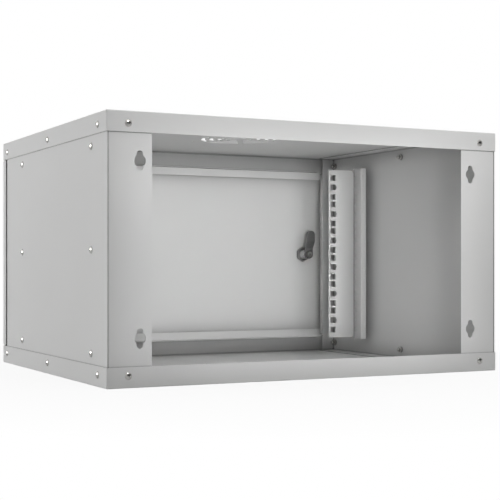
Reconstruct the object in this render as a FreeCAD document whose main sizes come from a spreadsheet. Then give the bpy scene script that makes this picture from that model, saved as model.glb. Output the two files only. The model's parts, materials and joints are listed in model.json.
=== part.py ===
import FreeCAD, Part
import math
import os
import re
import Sketcher

Vector = FreeCAD.Vector

# A wall mount cabinet of folded sheet steel, 6 rack units high, open at the wall side.
# Its door faces -Y, the wall is at +Y, +Z is up. Every sub-part is drawn about the middle of
# the carcass and lifted by half the height, so the model's origin is the middle of its base.
# Parts used at both sides, or at top and bottom, are one drawing turned half round about Y.

# Driving dimensions in millimetres: name, value, what it measures
SIZES = (
    ("width", 600.0, "across the covers"),
    ("depth", 450.0, "door front to wall face of the covers"),
    ("rack_unit", 44.45, "height of one rack unit"),
    ("rack_units", 6.0, "rack units held"),
    ("headroom", 75.3, "carcass height beyond the rack units"),
    ("steel", 1.2, "sheet of covers, panels, posts and door"),
    ("fit", 0.1, "gap between nested sheets"),
    ("bend", 1.6, "outer radius of a folded edge"),
    ("flange", 26.0, "depth of the flange round a cover"),
    ("cover_return", 10.0, "return of a cover's front flange, level with its edge"),
    ("return_end", 30.0, "end of that return from the cover's side"),
    ("panel_flange", 30.0, "side panel's flange under a cover"),
    ("front_flange", 24.2, "side panel's flange behind the door"),
    ("front_lip", 9.0, "lip of the front flange, into the door"),
    ("lip_gap", 1.0, "lip to door edge, above and below the door"),
    ("post_face", 61.0, "rear post, carcass side to inner edge"),
    ("post_side", 75.0, "rear post, wall face to front edge"),
    ("keyhole_in", 45.0, "keyhole centre from the carcass side"),
    ("keyhole_pitch", 220.0, "between the two keyholes of a post"),
    ("keyhole_radius", 7.8, "round middle of a keyhole"),
    ("keyslot_radius", 4.2, "half width of a keyhole's slots"),
    ("keyslot_length", 25.4, "keyhole, end to end"),
    ("bolt_radius", 2.5, "M5 shank"),
    ("hole_gap", 0.25, "hole round a shank, radial"),
    ("thread_fit", 0.05, "nut round a shank, radial"),
    ("head_radius", 4.6, "domed bolt head"),
    ("head_height", 2.5, "domed bolt head"),
    ("head_rim", 0.5, "straight rim of a bolt head"),
    ("recess_reach", 2.4, "arm of the cross recess, from the axis"),
    ("recess_half", 0.55, "half width of a recess arm"),
    ("recess_depth", 1.3, "cross recess"),
    ("nut_flats", 8.0, "M5 nut across flats"),
    ("nut_height", 4.0, "M5 nut"),
    ("cover_bolt", 10.0, "shank through a cover"),
    ("panel_bolt", 8.0, "shank through a panel or a rail"),
    ("bolt_drop", 15.2, "cover bolts below the cover's outer face"),
    ("bolt_rear", 30.0, "rear cover bolt from the wall face"),
    ("bolt_front", 6.4, "front cover bolt behind the panel's front"),
    ("wall_bolt_in", 29.0, "rear cover screw from the carcass side"),
    ("post_bolt_in", 57.0, "post bolts from the wall face"),
    ("panel_bolt_drop", 40.0, "end panel bolts from a cover's outer face"),
    ("rail_steel", 1.5, "sheet of rails and supports"),
    ("rail_bend", 2.0, "outer radius of a rail's fold"),
    ("rail_pitch", 465.1, "between the rails' hole columns"),
    ("rail_setback", 102.6, "rail face behind the panels' front"),
    ("rail_edge", 8.5, "hole column to the rail's inner edge"),
    ("rail_web", 21.0, "rail face to the rail's rear fold"),
    ("rail_fold", 11.0, "width of the rail's rear fold"),
    ("rail_leg", 53.0, "rail's leg along its support"),
    ("rail_margin", 13.0, "rail face beyond the end holes"),
    ("rail_extra", 2.8, "rail web beyond the rail face"),
    ("rail_corner", 5.0, "rounded outer corner of the rail face"),
    ("rail_relief", 2.0, "corner notch to the rail's web"),
    ("hole_step", 15.875, "holes within a rack unit"),
    ("hole_half", 4.75, "half a square hole"),
    ("hole_point", 2.6, "arrow point of a unit's middle hole"),
    ("web_slot_back", 6.2, "web slots behind the rail face"),
    ("web_slot_radius", 2.6, "half width of a web slot"),
    ("web_slot_length", 8.0, "web slot, end to end"),
    ("rail_bolt_back", 21.0, "rail and support bolts from the rail face"),
    ("rail_screw_pitch", 60.0, "between a rail's screws"),
    ("support_depth", 12.4, "rail leg to panel"),
    ("support_width", 30.0, "rail support along the panel"),
    ("vent_radius", 54.5, "middle of the outermost vent ring"),
    ("vent_step", 12.4, "between vent rings"),
    ("vent_slot", 6.0, "width of a vent slot"),
    ("vent_spoke", 6.0, "width of a vent spoke"),
    ("fan_pitch", 105.0, "fan screw holes"),
    ("fan_hole_radius", 2.25, "fan screw hole"),
    ("entry_length", 260.0, "cable entry, along X"),
    ("entry_width", 60.0, "cable entry, along Y"),
    ("entry_in", 85.0, "cable entry's middle from the wall face"),
    ("entry_lap", 12.0, "blanking plate over the sheet"),
    ("stud_radius", 2.0, "M4 weld stud"),
    ("stud_length", 8.0, "M4 weld stud"),
    ("stud_nut_flats", 7.0, "M4 nut across flats"),
    ("stud_nut_height", 3.2, "M4 nut"),
    ("door_depth", 15.0, "folded pan of the door"),
    ("door_setback", 1.7, "door to the panels' front flange"),
    ("door_gap", 1.2, "door to the covers' flanges"),
    ("hem", 12.5, "door's hems, top and bottom"),
    ("hem_end", 28.5, "end of a hem from the door's side"),
    ("hinge_in", 5.0, "hinge axis from the carcass side"),
    ("hinge_back", 5.0, "hinge axis behind the door's front"),
    ("pin_radius", 2.0, "hinge pin"),
    ("pin_length", 14.0, "hinge pin below its head"),
    ("pin_head_radius", 3.3, "hinge pin head"),
    ("pin_head_height", 2.0, "hinge pin head"),
    ("run_fit", 0.05, "round a turning shaft, radial"),
    ("bracket_steel", 2.0, "hinge bracket"),
    ("bracket_width", 20.0, "hinge bracket along X"),
    ("bracket_rise", 18.0, "hinge bracket's welded leg"),
    ("bracket_gap", 0.3, "hinge bracket to the cover's front flange"),
    ("bush_radius", 3.0, "hinge bush in the door"),
    ("bush_collar", 3.6, "radius of the bush's collar"),
    ("bush_reach", 3.2, "bush past the door's outer face"),
    ("lock_in", 57.0, "lock axis from the carcass side"),
    ("bezel_radius", 12.0, "lock bezel on the door's front"),
    ("bezel_height", 2.5, "lock bezel"),
    ("bezel_bevel", 1.0, "lock bezel's bevel"),
    ("barrel_radius", 9.0, "lock housing's barrel"),
    ("barrel_length", 21.0, "barrel behind the door's front"),
    ("plug_radius", 6.0, "lock cylinder"),
    ("plug_recess", 0.3, "lock cylinder below the bezel"),
    ("key_half_width", 0.7, "half the key slot's width"),
    ("key_half_height", 4.0, "half the key slot's height"),
    ("key_depth", 14.0, "key slot"),
    ("lock_nut_flats", 22.0, "lock nut across flats"),
    ("lock_nut_height", 5.0, "lock nut"),
    ("drive_half", 4.0, "half the cylinder's square drive"),
    ("cam_steel", 3.0, "lock cam"),
    ("cam_width", 15.2, "lock cam"),
    ("cam_reach", 41.0, "lock cam, axis to tip"),
    ("cam_tail", 6.4, "lock cam, axis to tail"),
    ("cam_offset", 7.0, "joggle in the lock cam"),
    ("joggle_start", 10.5, "joggle from the lock axis"),
    ("joggle_end", 22.5, "joggle from the lock axis"),
    ("cam_tip_round", 7.0, "rounded corners of the cam's tip"),
    ("cam_tail_round", 5.0, "rounded corners of the cam's tail"),
    ("washer_radius", 6.0, "washer on the cam"),
    ("washer_height", 1.0, "washer on the cam"),
    ("cam_screw_head", 4.2, "cam screw's head, radius"),
    ("cam_screw_height", 2.6, "cam screw's head"),
    ("cam_screw_length", 9.0, "cam screw's shank"),
)
NAMES = {name for name, value, note in SIZES}
VENT_RINGS = 4
VENT_SPOKES = 6
UNIT_HOLES = 3
RAIL_SCREWS = 4

# Places worked out from the sizes; each is the middle of the carcass plus or minus so much
HALF_WIDTH = "(width / 2)"
HALF_DEPTH = "(depth / 2)"
HALF_HEIGHT = "((rack_units * rack_unit + headroom) / 2)"
COVER_IN = f"({HALF_WIDTH} - steel)"
COVER_UNDER = f"({HALF_HEIGHT} - steel)"
COVER_EDGE = f"({HALF_HEIGHT} - flange)"
PANEL_OUT = f"({COVER_IN} - fit)"
PANEL_IN = f"({PANEL_OUT} - steel)"
PANEL_TOP = f"({COVER_UNDER} - fit)"
PANEL_FRONT = f"(door_depth + door_setback - {HALF_DEPTH})"
WALL_FACE = f"({HALF_DEPTH} - steel - fit)"
POST_OUT = f"({PANEL_IN} - fit)"
POST_IN = f"({POST_OUT} - steel)"
POST_INNER_FACE = f"({WALL_FACE} - steel)"
POST_TOP = f"({PANEL_TOP} - steel - fit)"
COVER_BOLT_Z = f"({HALF_HEIGHT} - bolt_drop)"
COVER_BOLT_REAR = f"({HALF_DEPTH} - bolt_rear)"
COVER_BOLT_FRONT = f"({PANEL_FRONT} + bolt_front)"
COVER_BOLT_MIDDLE = f"(({COVER_BOLT_REAR} + {COVER_BOLT_FRONT}) / 2)"
WALL_BOLT_X = f"({HALF_WIDTH} - wall_bolt_in)"
POST_BOLT_Y = f"({HALF_DEPTH} - post_bolt_in)"
PANEL_BOLT_Z = f"({HALF_HEIGHT} - panel_bolt_drop)"
BOLT_HOLE = "(bolt_radius + hole_gap)"
THROUGH_SHEET = "(4 * steel)"
THROUGH_RAIL = "(4 * rail_steel)"
THROUGH_ALL = "(2 * width)"
RAIL_FACE = f"({PANEL_FRONT} + rail_setback)"
RAIL_REAR = f"({RAIL_FACE} + rail_web)"
RAIL_BOLT_Y = f"({RAIL_FACE} - rail_bolt_back)"
RAIL_SCREW_TOP = f"({RAIL_SCREWS - 1} / 2 * rail_screw_pitch)"
SUPPORT_OUT = f"({PANEL_IN} - fit)"
SUPPORT_IN = f"({SUPPORT_OUT} - support_depth + fit)"
RAIL_OUT = f"({SUPPORT_IN} - fit)"
RAIL_WEB_X = f"({RAIL_OUT} - rail_fold)"
RAIL_HOLE_X = "(rail_pitch / 2)"
FIRST_HOLE_Z = "(0 - (rack_units - 1) * rack_unit / 2 - hole_step)"
RAIL_TOP = f"(rail_margin - {FIRST_HOLE_Z})"
RAIL_WEB_TOP = f"({RAIL_TOP} + rail_extra)"
ENTRY_Y = f"({HALF_DEPTH} - entry_in)"
STUD_X = "(entry_length / 2 + entry_lap / 2)"
STUD_STEP = "(entry_width + entry_lap)"
DOOR_FRONT = f"(0 - {HALF_DEPTH})"
DOOR_REAR = f"({DOOR_FRONT} + door_depth)"
DOOR_TOP = f"({COVER_EDGE} - door_gap)"
HINGE_X = f"({HALF_WIDTH} - hinge_in)"
HINGE_Y = f"({DOOR_FRONT} + hinge_back)"
LOCK_X = f"(lock_in - {HALF_WIDTH})"
BARREL_END = f"({DOOR_FRONT} + barrel_length)"
CAM_FACE = f"({BARREL_END} + fit)"
CAM_REAR = f"({CAM_FACE} + cam_steel)"
WASHER_REAR = f"({CAM_REAR} + washer_height)"

doc = FreeCAD.newDocument("wall_cabinet")
sheet = doc.addObject("Spreadsheet::Sheet", "Sizes")
for row, (name, value, note) in enumerate(SIZES, start=1):
    sheet.set(f"A{row}", name)
    sheet.set(f"B{row}", str(value))
    sheet.setAlias(f"B{row}", name)
    sheet.set(f"C{row}", note)
doc.recompute()

parts = []
cuts = []


# Expressions and sketches

def bound(text):
    """The same formula with every size read from the sheet."""
    return re.sub(r"[a-z_]+", lambda m: f"Sizes.{m[0]}" if m[0] in NAMES else m[0], text)


def value_of(text):
    """What a formula gives at the sheet's present sizes."""
    return float(sheet.evalExpression(bound(text)))


def origin_feature(body, role):
    return next(item for item in body.Origin.OriginFeatures if item.Role == role)


def new_part(label, turned_over=False):
    body = doc.addObject("PartDesign::Body", label)
    body.Label = label
    turn = 180 if turned_over else 0
    body.Placement = FreeCAD.Placement(Vector(), FreeCAD.Rotation(Vector(0, 1, 0), turn))
    body.setExpression("Placement.Base.z", bound(HALF_HEIGHT))
    parts.append(body)
    return body


def new_sketch(body, name, plane, origin=("0", "0", "0")):
    """A sketch parallel to one of the body's planes, its own zero at the origin given."""
    x, y, z = origin
    own_axes = {"XY": (x, y, z), "YZ": (y, z, x), "XZ": (x, z, f"0 - {y}")}[plane]
    sketch = body.newObject("Sketcher::SketchObject", name)
    sketch.AttachmentSupport = (origin_feature(body, plane + "_Plane"), [""])
    sketch.MapMode = "FlatFace"
    for axis, text in zip("xyz", own_axes):
        sketch.setExpression(f"AttachmentOffset.Base.{axis}", bound(text))
    return sketch


def hold(sketch, kind, shape, point, text):
    """Hold one coordinate of a point, or a radius, at a formula."""
    if kind == "Radius":
        rule = Sketcher.Constraint(kind, shape, value_of(text))
    elif text == "0":
        axis = -2 if kind == "DistanceX" else -1
        sketch.addConstraint(Sketcher.Constraint("PointOnObject", shape, point, axis))
        return
    else:
        rule = Sketcher.Constraint(kind, -1, 1, shape, point, value_of(text))
    sketch.setExpression(f"Constraints[{sketch.addConstraint(rule)}]", bound(text))


def hold_point(sketch, shape, point, across, up):
    hold(sketch, "DistanceX", shape, point, across)
    hold(sketch, "DistanceY", shape, point, up)


def draw_circle(sketch, across, up, radius):
    centre = Vector(value_of(across), value_of(up), 0)
    shape = sketch.addGeometry(Part.Circle(centre, Vector(0, 0, 1), value_of(radius)), False)
    hold_point(sketch, shape, 3, across, up)
    hold(sketch, "Radius", shape, 0, radius)


def draw_outline(sketch, corners, arcs={}):
    """A closed line through the corners. arcs: corner number to its arc's centre and held axis."""
    points = [Vector(value_of(across), value_of(up), 0) for across, up in corners]
    ends = []
    for number, start in enumerate(points):
        finish = points[(number + 1) % len(points)]
        if number not in arcs:
            shape = sketch.addGeometry(Part.LineSegment(start, finish), False)
            ends.append((shape, 1, 2))
            continue
        across, up, held = arcs[number]
        centre = Vector(value_of(across), value_of(up), 0)
        leftward = (start - centre).cross(finish - centre).z > 0
        first, last = (start, finish) if leftward else (finish, start)
        circle = Part.Circle(centre, Vector(0, 0, 1), (start - centre).Length)
        angles = [math.atan2(point.y - centre.y, point.x - centre.x) for point in (first, last)]
        shape = sketch.addGeometry(Part.ArcOfCircle(circle, *angles), False)
        hold(sketch, held, shape, 3, across if held == "DistanceX" else up)
        ends.append((shape, 1, 2) if leftward else (shape, 2, 1))
    for (shape, first, last), (after, after_first, after_last) in zip(ends, ends[1:] + ends[:1]):
        sketch.addConstraint(Sketcher.Constraint("Coincident", shape, last, after, after_first))
    for (shape, first, last), (across, up) in zip(ends, corners):
        hold_point(sketch, shape, first, across, up)


def draw_rectangle(sketch, left, right, low, high):
    draw_outline(sketch, [(left, low), (right, low), (right, high), (left, high)])


def draw_slot(sketch, across, up, radius, length):
    """An upright slot with round ends."""
    shapes = []
    for side in (1, -1):
        end = f"({up} + {side} * ({length} / 2 - {radius}))"
        centre = Vector(value_of(across), value_of(end), 0)
        circle = Part.Circle(centre, Vector(0, 0, 1), value_of(radius))
        start = 0 if side > 0 else math.pi
        shape = sketch.addGeometry(Part.ArcOfCircle(circle, start, start + math.pi), False)
        hold_point(sketch, shape, 3, across, end)
        hold(sketch, "Radius", shape, 0, radius)
        shapes.append((shape, circle.value(start), circle.value(start + math.pi)))
    (top, top_start, top_end), (low, low_start, low_end) = shapes
    left = sketch.addGeometry(Part.LineSegment(top_end, low_start), False)
    right = sketch.addGeometry(Part.LineSegment(low_end, top_start), False)
    for arc, point, line, line_point in ((top, 2, left, 1), (low, 1, left, 2),
                                         (low, 2, right, 1), (top, 1, right, 2)):
        sketch.addConstraint(Sketcher.Constraint("Tangent", arc, point, line, line_point))


def draw_hexagon(sketch, flats, corner_up):
    corner = f"({flats} / 2 / cos(30 deg))"
    half = f"({flats} / 2)"
    corners = [(corner, "0"), (f"{corner} / 2", half), (f"0 - {corner} / 2", half),
               (f"0 - {corner}", "0"), (f"0 - {corner} / 2", f"0 - {half}"),
               (f"{corner} / 2", f"0 - {half}")]
    draw_outline(sketch, [(up, across) for across, up in corners] if corner_up else corners)


def draw_cross(sketch, reach, half):
    """A plus sign, for a screw's recess."""
    quarter = [(reach, half), (half, half), (half, reach)]
    corners = []
    for across_sign, up_sign in ((1, 1), (-1, 1), (-1, -1), (1, -1)):
        turn = quarter if across_sign * up_sign > 0 else quarter[::-1]
        corners += [(f"{across_sign} * {a}", f"{up_sign} * {b}") for a, b in turn]
    draw_outline(sketch, corners)


# Solids from sketches

NORMALS = {"XY_Plane": "+Z", "YZ_Plane": "+X", "XZ_Plane": "-Y"}


def extrude(body, sketch, kind, length, toward):
    """Pad or Pocket a sketch one way along an axis, or half the length each way."""
    feature = body.newObject(f"PartDesign::{kind}", f"{sketch.Name}_{kind.lower()}")
    feature.Profile = sketch
    normal = NORMALS[sketch.AttachmentSupport[0][0].Role]
    if toward == "both":
        feature.SideType = "Symmetric"
    else:
        feature.Reversed = (normal == toward) == (kind == "Pocket")
    feature.setExpression("Length", bound(length))
    if kind == "Pocket":
        cuts.append(feature)
    return feature


def pad(body, sketch, length, toward="both"):
    return extrude(body, sketch, "Pad", length, toward)


def pocket(body, sketch, length, toward="both"):
    return extrude(body, sketch, "Pocket", length, toward)


def turn_profile(body, name, corners, origin, outward, arcs={}):
    """Revolve a profile of (along, radius) corners; along runs outward from the origin."""
    sign = "" if outward[0] == "+" else "0 - "
    upright = outward[1] == "Z"
    plane = {"X": "XY", "Y": "YZ", "Z": "XZ"}[outward[1]]
    sketch = new_sketch(body, name, plane, origin)

    def own(along, radius):
        along = along if along == "0" else f"{sign}{along}"
        return (radius, along) if upright else (along, radius)

    held = "DistanceX" if upright else "DistanceY"
    own_arcs = {number: (*own(*centre), held) for number, centre in arcs.items()}
    draw_outline(sketch, [own(along, radius) for along, radius in corners], own_arcs)
    feature = body.newObject("PartDesign::Revolution", f"{name}_turned")
    feature.Profile = sketch
    feature.ReferenceAxis = (sketch, ["V_Axis" if upright else "H_Axis"])
    feature.Angle = 360
    return feature


def repeat(body, originals, first, second=None):
    """Repeat features along one axis or two: each an axis name, a span and a count."""
    pattern = body.newObject("PartDesign::LinearPattern", f"{originals[0].Name}_row")
    pattern.Originals = originals
    for order, run in (("", first), ("2", second)):
        if run is None:
            continue
        axis, span, count = run
        setattr(pattern, "Direction" + order, (origin_feature(body, axis + "_Axis"), [""]))
        pattern.setExpression("Length" + order, bound(span))
        pattern.setExpression("Occurrences" + order, bound(str(count)))
    body.Tip = pattern
    return pattern


def round_edges(body, name, radius, places):
    """Round the straight edges that lie at a place: its x, y and z, with None for any."""
    doc.recompute()
    base = body.Tip
    wanted = [[None if text is None else value_of(text) for text in place] for place in places]

    def at(point, place):
        return all(goal is None or abs(own - goal) < 0.001 for own, goal in zip(point, place))

    names = []
    for number, edge in enumerate(base.Shape.Edges, start=1):
        ends = [vertex.Point for vertex in edge.Vertexes]
        if any(all(at(point, place) for point in ends) for place in wanted):
            names.append(f"Edge{number}")
    feature = body.newObject("PartDesign::Fillet", name)
    feature.Base = (base, names)
    feature.setExpression("Radius", bound(radius))
    return feature


# Fasteners

def screw(body, name, seat, outward, length, shank="bolt_radius", head="head_radius",
          height="head_height"):
    """A domed screw with a cross recess; seat is the point under its head."""
    rise = f"({height} - head_rim)"
    dome = f"(({head} * {head} + {rise} * {rise}) / (2 * {rise}))"
    corners = [(height, "0"), (f"(0 - {length})", "0"), (f"(0 - {length})", shank), ("0", shank),
               ("0", head), ("head_rim", head)]
    body_of_screw = turn_profile(body, name, corners, seat, outward,
                                 {5: (f"({height} - {dome})", "0")})
    plane = {"X": "YZ", "Y": "XZ", "Z": "XY"}[outward[1]]
    top = list(seat)
    axis = "XYZ".index(outward[1])
    top[axis] = f"({seat[axis]} {outward[0]} {height})"
    recess = new_sketch(body, f"{name}_recess", plane, top)
    draw_cross(recess, "recess_reach", "recess_half")
    inward = ("-" if outward[0] == "+" else "+") + outward[1]
    return [body_of_screw, pocket(body, recess, "recess_depth", inward)]


def nut(body, name, seat, outward, flats="nut_flats", height="nut_height", bore="bolt_radius",
        gap="thread_fit", corner_up=False):
    """A hexagon nut that stands outward from its seat."""
    plane = {"X": "YZ", "Y": "XZ", "Z": "XY"}[outward[1]]
    sketch = new_sketch(body, name, plane, seat)
    draw_hexagon(sketch, flats, corner_up)
    draw_circle(sketch, "0", "0", f"({bore} + {gap})")
    return pad(body, sketch, height, outward)


# Carcass

def build_cover(label, turned_over):
    body = new_part(label, turned_over)
    blank = new_sketch(body, f"{label}_blank", "XY", ("0", "0", HALF_HEIGHT))
    draw_rectangle(blank, f"0 - {HALF_WIDTH}", HALF_WIDTH, f"0 - {HALF_DEPTH}", HALF_DEPTH)
    pad(body, blank, "flange", "-Z")
    sides = [f"0 - {HALF_WIDTH}", HALF_WIDTH]
    ends = [f"0 - {HALF_DEPTH}", HALF_DEPTH]
    corners = [(side, end, None) for side in sides for end in ends]
    folds = [(side, None, HALF_HEIGHT) for side in sides] + [(None, end, HALF_HEIGHT) for end in ends]
    round_edges(body, f"{label}_folds", "bend", corners + folds)
    hollow = new_sketch(body, f"{label}_hollow", "XY", ("0", "0", COVER_UNDER))
    inner_end = f"({HALF_DEPTH} - steel)"
    draw_rectangle(hollow, f"0 - {COVER_IN}", COVER_IN, f"0 - {inner_end}", inner_end)
    pocket(body, hollow, "flange", "-Z")
    front_return = new_sketch(body, f"{label}_return", "XY", ("0", "0", COVER_EDGE))
    return_x = f"({HALF_WIDTH} - return_end)"
    draw_rectangle(front_return, f"0 - {return_x}", return_x, f"0 - {inner_end}",
                   f"cover_return - {inner_end}")
    pad(body, front_return, "steel", "+Z")
    side_holes = new_sketch(body, f"{label}_side_holes", "YZ")
    for along in (COVER_BOLT_REAR, COVER_BOLT_MIDDLE, COVER_BOLT_FRONT):
        draw_circle(side_holes, along, COVER_BOLT_Z, BOLT_HOLE)
    pocket(body, side_holes, THROUGH_ALL)
    wall_holes = new_sketch(body, f"{label}_wall_holes", "XZ", ("0", HALF_DEPTH, "0"))
    for side in ("", "0 - "):
        draw_circle(wall_holes, f"{side}{WALL_BOLT_X}", COVER_BOLT_Z, BOLT_HOLE)
    pocket(body, wall_holes, THROUGH_SHEET)
    cut_vent(body, label)
    entry = new_sketch(body, f"{label}_entry", "XY", ("0", ENTRY_Y, HALF_HEIGHT))
    draw_rectangle(entry, "0 - entry_length / 2", "entry_length / 2", "0 - entry_width / 2",
                   "entry_width / 2")
    pocket(body, entry, THROUGH_SHEET)


def cut_vent(body, label):
    """Rings of arc slots between straight spokes, and four fan screw holes round them."""
    slots = new_sketch(body, f"{label}_vent", "XY", ("0", "0", HALF_HEIGHT))
    for ring in range(VENT_RINGS):
        middle = f"(vent_radius - {ring} * vent_step)"
        ends = []
        for radius in (f"({middle} - vent_slot / 2)", f"({middle} + vent_slot / 2)"):
            angle = f"(180 deg / {VENT_SPOKES} - asin(vent_spoke / 2 / {radius}))"
            ends.append((f"({radius} * cos({angle}))", f"({radius} * sin({angle}))"))
        (inner_y, inner_x), (outer_y, outer_x) = ends
        draw_outline(slots, [(f"0 - {inner_x}", inner_y), (f"0 - {outer_x}", outer_y),
                             (outer_x, outer_y), (inner_x, inner_y)],
                     {1: ("0", "0", "DistanceY"), 3: ("0", "0", "DistanceY")})
    sector = pocket(body, slots, THROUGH_SHEET)
    rosette = body.newObject("PartDesign::PolarPattern", f"{label}_rosette")
    rosette.Originals = [sector]
    rosette.Axis = (origin_feature(body, "Z_Axis"), [""])
    rosette.Angle = 360
    rosette.Occurrences = VENT_SPOKES
    body.Tip = rosette
    fan_holes = new_sketch(body, f"{label}_fan_holes", "XY", ("0", "0", HALF_HEIGHT))
    for across in ("", "0 - "):
        for up in ("", "0 - "):
            draw_circle(fan_holes, f"{across}fan_pitch / 2", f"{up}fan_pitch / 2",
                        "fan_hole_radius")
    pocket(body, fan_holes, THROUGH_SHEET)


def build_entry_plate(label, turned_over):
    """Blanking plate held inside the cover, over the cable entry."""
    body = new_part(label, turned_over)
    blank = new_sketch(body, f"{label}_blank", "XY", ("0", ENTRY_Y, COVER_UNDER))
    half_length = "(entry_length / 2 + entry_lap)"
    half_width = "(entry_width / 2 + entry_lap)"
    draw_rectangle(blank, f"0 - {half_length}", half_length, f"0 - {half_width}", half_width)
    for across in ("", "0 - "):
        for up in ("", "0 - "):
            draw_circle(blank, f"{across}{STUD_X}", f"{up}{STUD_STEP} / 2",
                        "(stud_radius + hole_gap)")
    pad(body, blank, "steel", "-Z")


def build_entry_studs(label, turned_over):
    body = new_part(label, turned_over)
    corner = (f"0 - {STUD_X}", f"({ENTRY_Y} - {STUD_STEP} / 2)", COVER_UNDER)
    sketch = new_sketch(body, f"{label}_round", "XY", corner)
    draw_circle(sketch, "0", "0", "stud_radius")
    stud = pad(body, sketch, "stud_length", "-Z")
    repeat(body, [stud], ("X", f"2 * {STUD_X}", 2), ("Y", STUD_STEP, 2))


def build_entry_nuts(label, turned_over):
    body = new_part(label, turned_over)
    seat = (f"0 - {STUD_X}", f"({ENTRY_Y} - {STUD_STEP} / 2)", f"({COVER_UNDER} - steel)")
    first = nut(body, f"{label}_first", seat, "-Z", "stud_nut_flats", "stud_nut_height",
                "stud_radius")
    repeat(body, [first], ("X", f"2 * {STUD_X}", 2), ("Y", STUD_STEP, 2))


def build_side_panel(label, turned_over):
    """Upright sheet with a front flange and lip, and a flange under each cover."""
    body = new_part(label, turned_over)
    flange_in = f"({PANEL_OUT} - front_flange)"
    flange_rear = f"({PANEL_FRONT} + steel)"
    lip_front = f"({flange_rear} - front_lip)"
    plan = new_sketch(body, f"{label}_plan", "XY")
    draw_outline(plan, [(PANEL_OUT, WALL_FACE), (PANEL_OUT, PANEL_FRONT),
                        (f"({flange_in} + steel)", PANEL_FRONT),
                        (f"({flange_in} + steel)", lip_front), (flange_in, lip_front),
                        (flange_in, flange_rear), (PANEL_IN, flange_rear), (PANEL_IN, WALL_FACE)])
    pad(body, plan, f"2 * {PANEL_TOP}")
    for side in (1, -1):
        end = new_sketch(body, f"{label}_end{side + 1}", "XY", ("0", "0", f"({side} * {PANEL_TOP})"))
        draw_rectangle(end, f"({PANEL_OUT} - panel_flange)", PANEL_OUT, PANEL_FRONT, WALL_FACE)
        pad(body, end, "steel", "-Z" if side > 0 else "+Z")
    folds = [(PANEL_OUT, PANEL_FRONT, None)]
    folds += [(PANEL_OUT, None, f"{side} * {PANEL_TOP}") for side in (1, -1)]
    round_edges(body, f"{label}_folds", "bend", folds)
    notch = new_sketch(body, f"{label}_notch", "YZ", (flange_in, "0", "0"))
    notch_low = f"({DOOR_TOP} - steel - lip_gap)"
    for side in ("", "0 - "):
        draw_rectangle(notch, f"({lip_front} - steel)", PANEL_FRONT, f"{side}{notch_low}",
                       f"{side}{HALF_HEIGHT}")
    pocket(body, notch, THROUGH_SHEET)
    holes = new_sketch(body, f"{label}_holes", "YZ")
    for side in ("", "0 - "):
        for along in (COVER_BOLT_REAR, COVER_BOLT_MIDDLE, COVER_BOLT_FRONT):
            draw_circle(holes, along, f"{side}{COVER_BOLT_Z}", BOLT_HOLE)
        for along in (POST_BOLT_Y, RAIL_BOLT_Y):
            draw_circle(holes, along, f"{side}{PANEL_BOLT_Z}", BOLT_HOLE)
    for along in (POST_BOLT_Y, RAIL_BOLT_Y):
        draw_circle(holes, along, "0", BOLT_HOLE)
    pocket(body, holes, THROUGH_ALL)


def build_rear_post(label, turned_over):
    """Angle at the wall side, with two double keyholes to hang the cabinet by."""
    body = new_part(label, turned_over)
    face_in = f"({HALF_WIDTH} - post_face)"
    side_front = f"({HALF_DEPTH} - post_side)"
    plan = new_sketch(body, f"{label}_plan", "XY")
    draw_outline(plan, [(face_in, WALL_FACE), (POST_OUT, WALL_FACE), (POST_OUT, side_front),
                        (POST_IN, side_front), (POST_IN, POST_INNER_FACE),
                        (face_in, POST_INNER_FACE)])
    pad(body, plan, f"2 * {POST_TOP}")
    round_edges(body, f"{label}_fold", "bend", [(POST_OUT, WALL_FACE, None)])
    rounds = new_sketch(body, f"{label}_rounds", "XZ", ("0", WALL_FACE, "0"))
    slots = new_sketch(body, f"{label}_slots", "XZ", ("0", WALL_FACE, "0"))
    keyhole_x = f"({HALF_WIDTH} - keyhole_in)"
    for side in ("", "0 - "):
        draw_circle(rounds, keyhole_x, f"({side}keyhole_pitch / 2)", "keyhole_radius")
        draw_slot(slots, keyhole_x, f"({side}keyhole_pitch / 2)", "keyslot_radius",
                  "keyslot_length")
        draw_circle(rounds, WALL_BOLT_X, f"{side}{COVER_BOLT_Z}", BOLT_HOLE)
    pocket(body, rounds, THROUGH_SHEET)
    pocket(body, slots, THROUGH_SHEET)
    holes = new_sketch(body, f"{label}_holes", "YZ", (POST_IN, "0", "0"))
    draw_circle(holes, POST_BOLT_Y, "0", BOLT_HOLE)
    for side in ("", "0 - "):
        draw_circle(holes, POST_BOLT_Y, f"{side}{PANEL_BOLT_Z}", BOLT_HOLE)
        draw_circle(holes, COVER_BOLT_REAR, f"{side}{COVER_BOLT_Z}", BOLT_HOLE)
    pocket(body, holes, THROUGH_SHEET)


# Equipment rails

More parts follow.
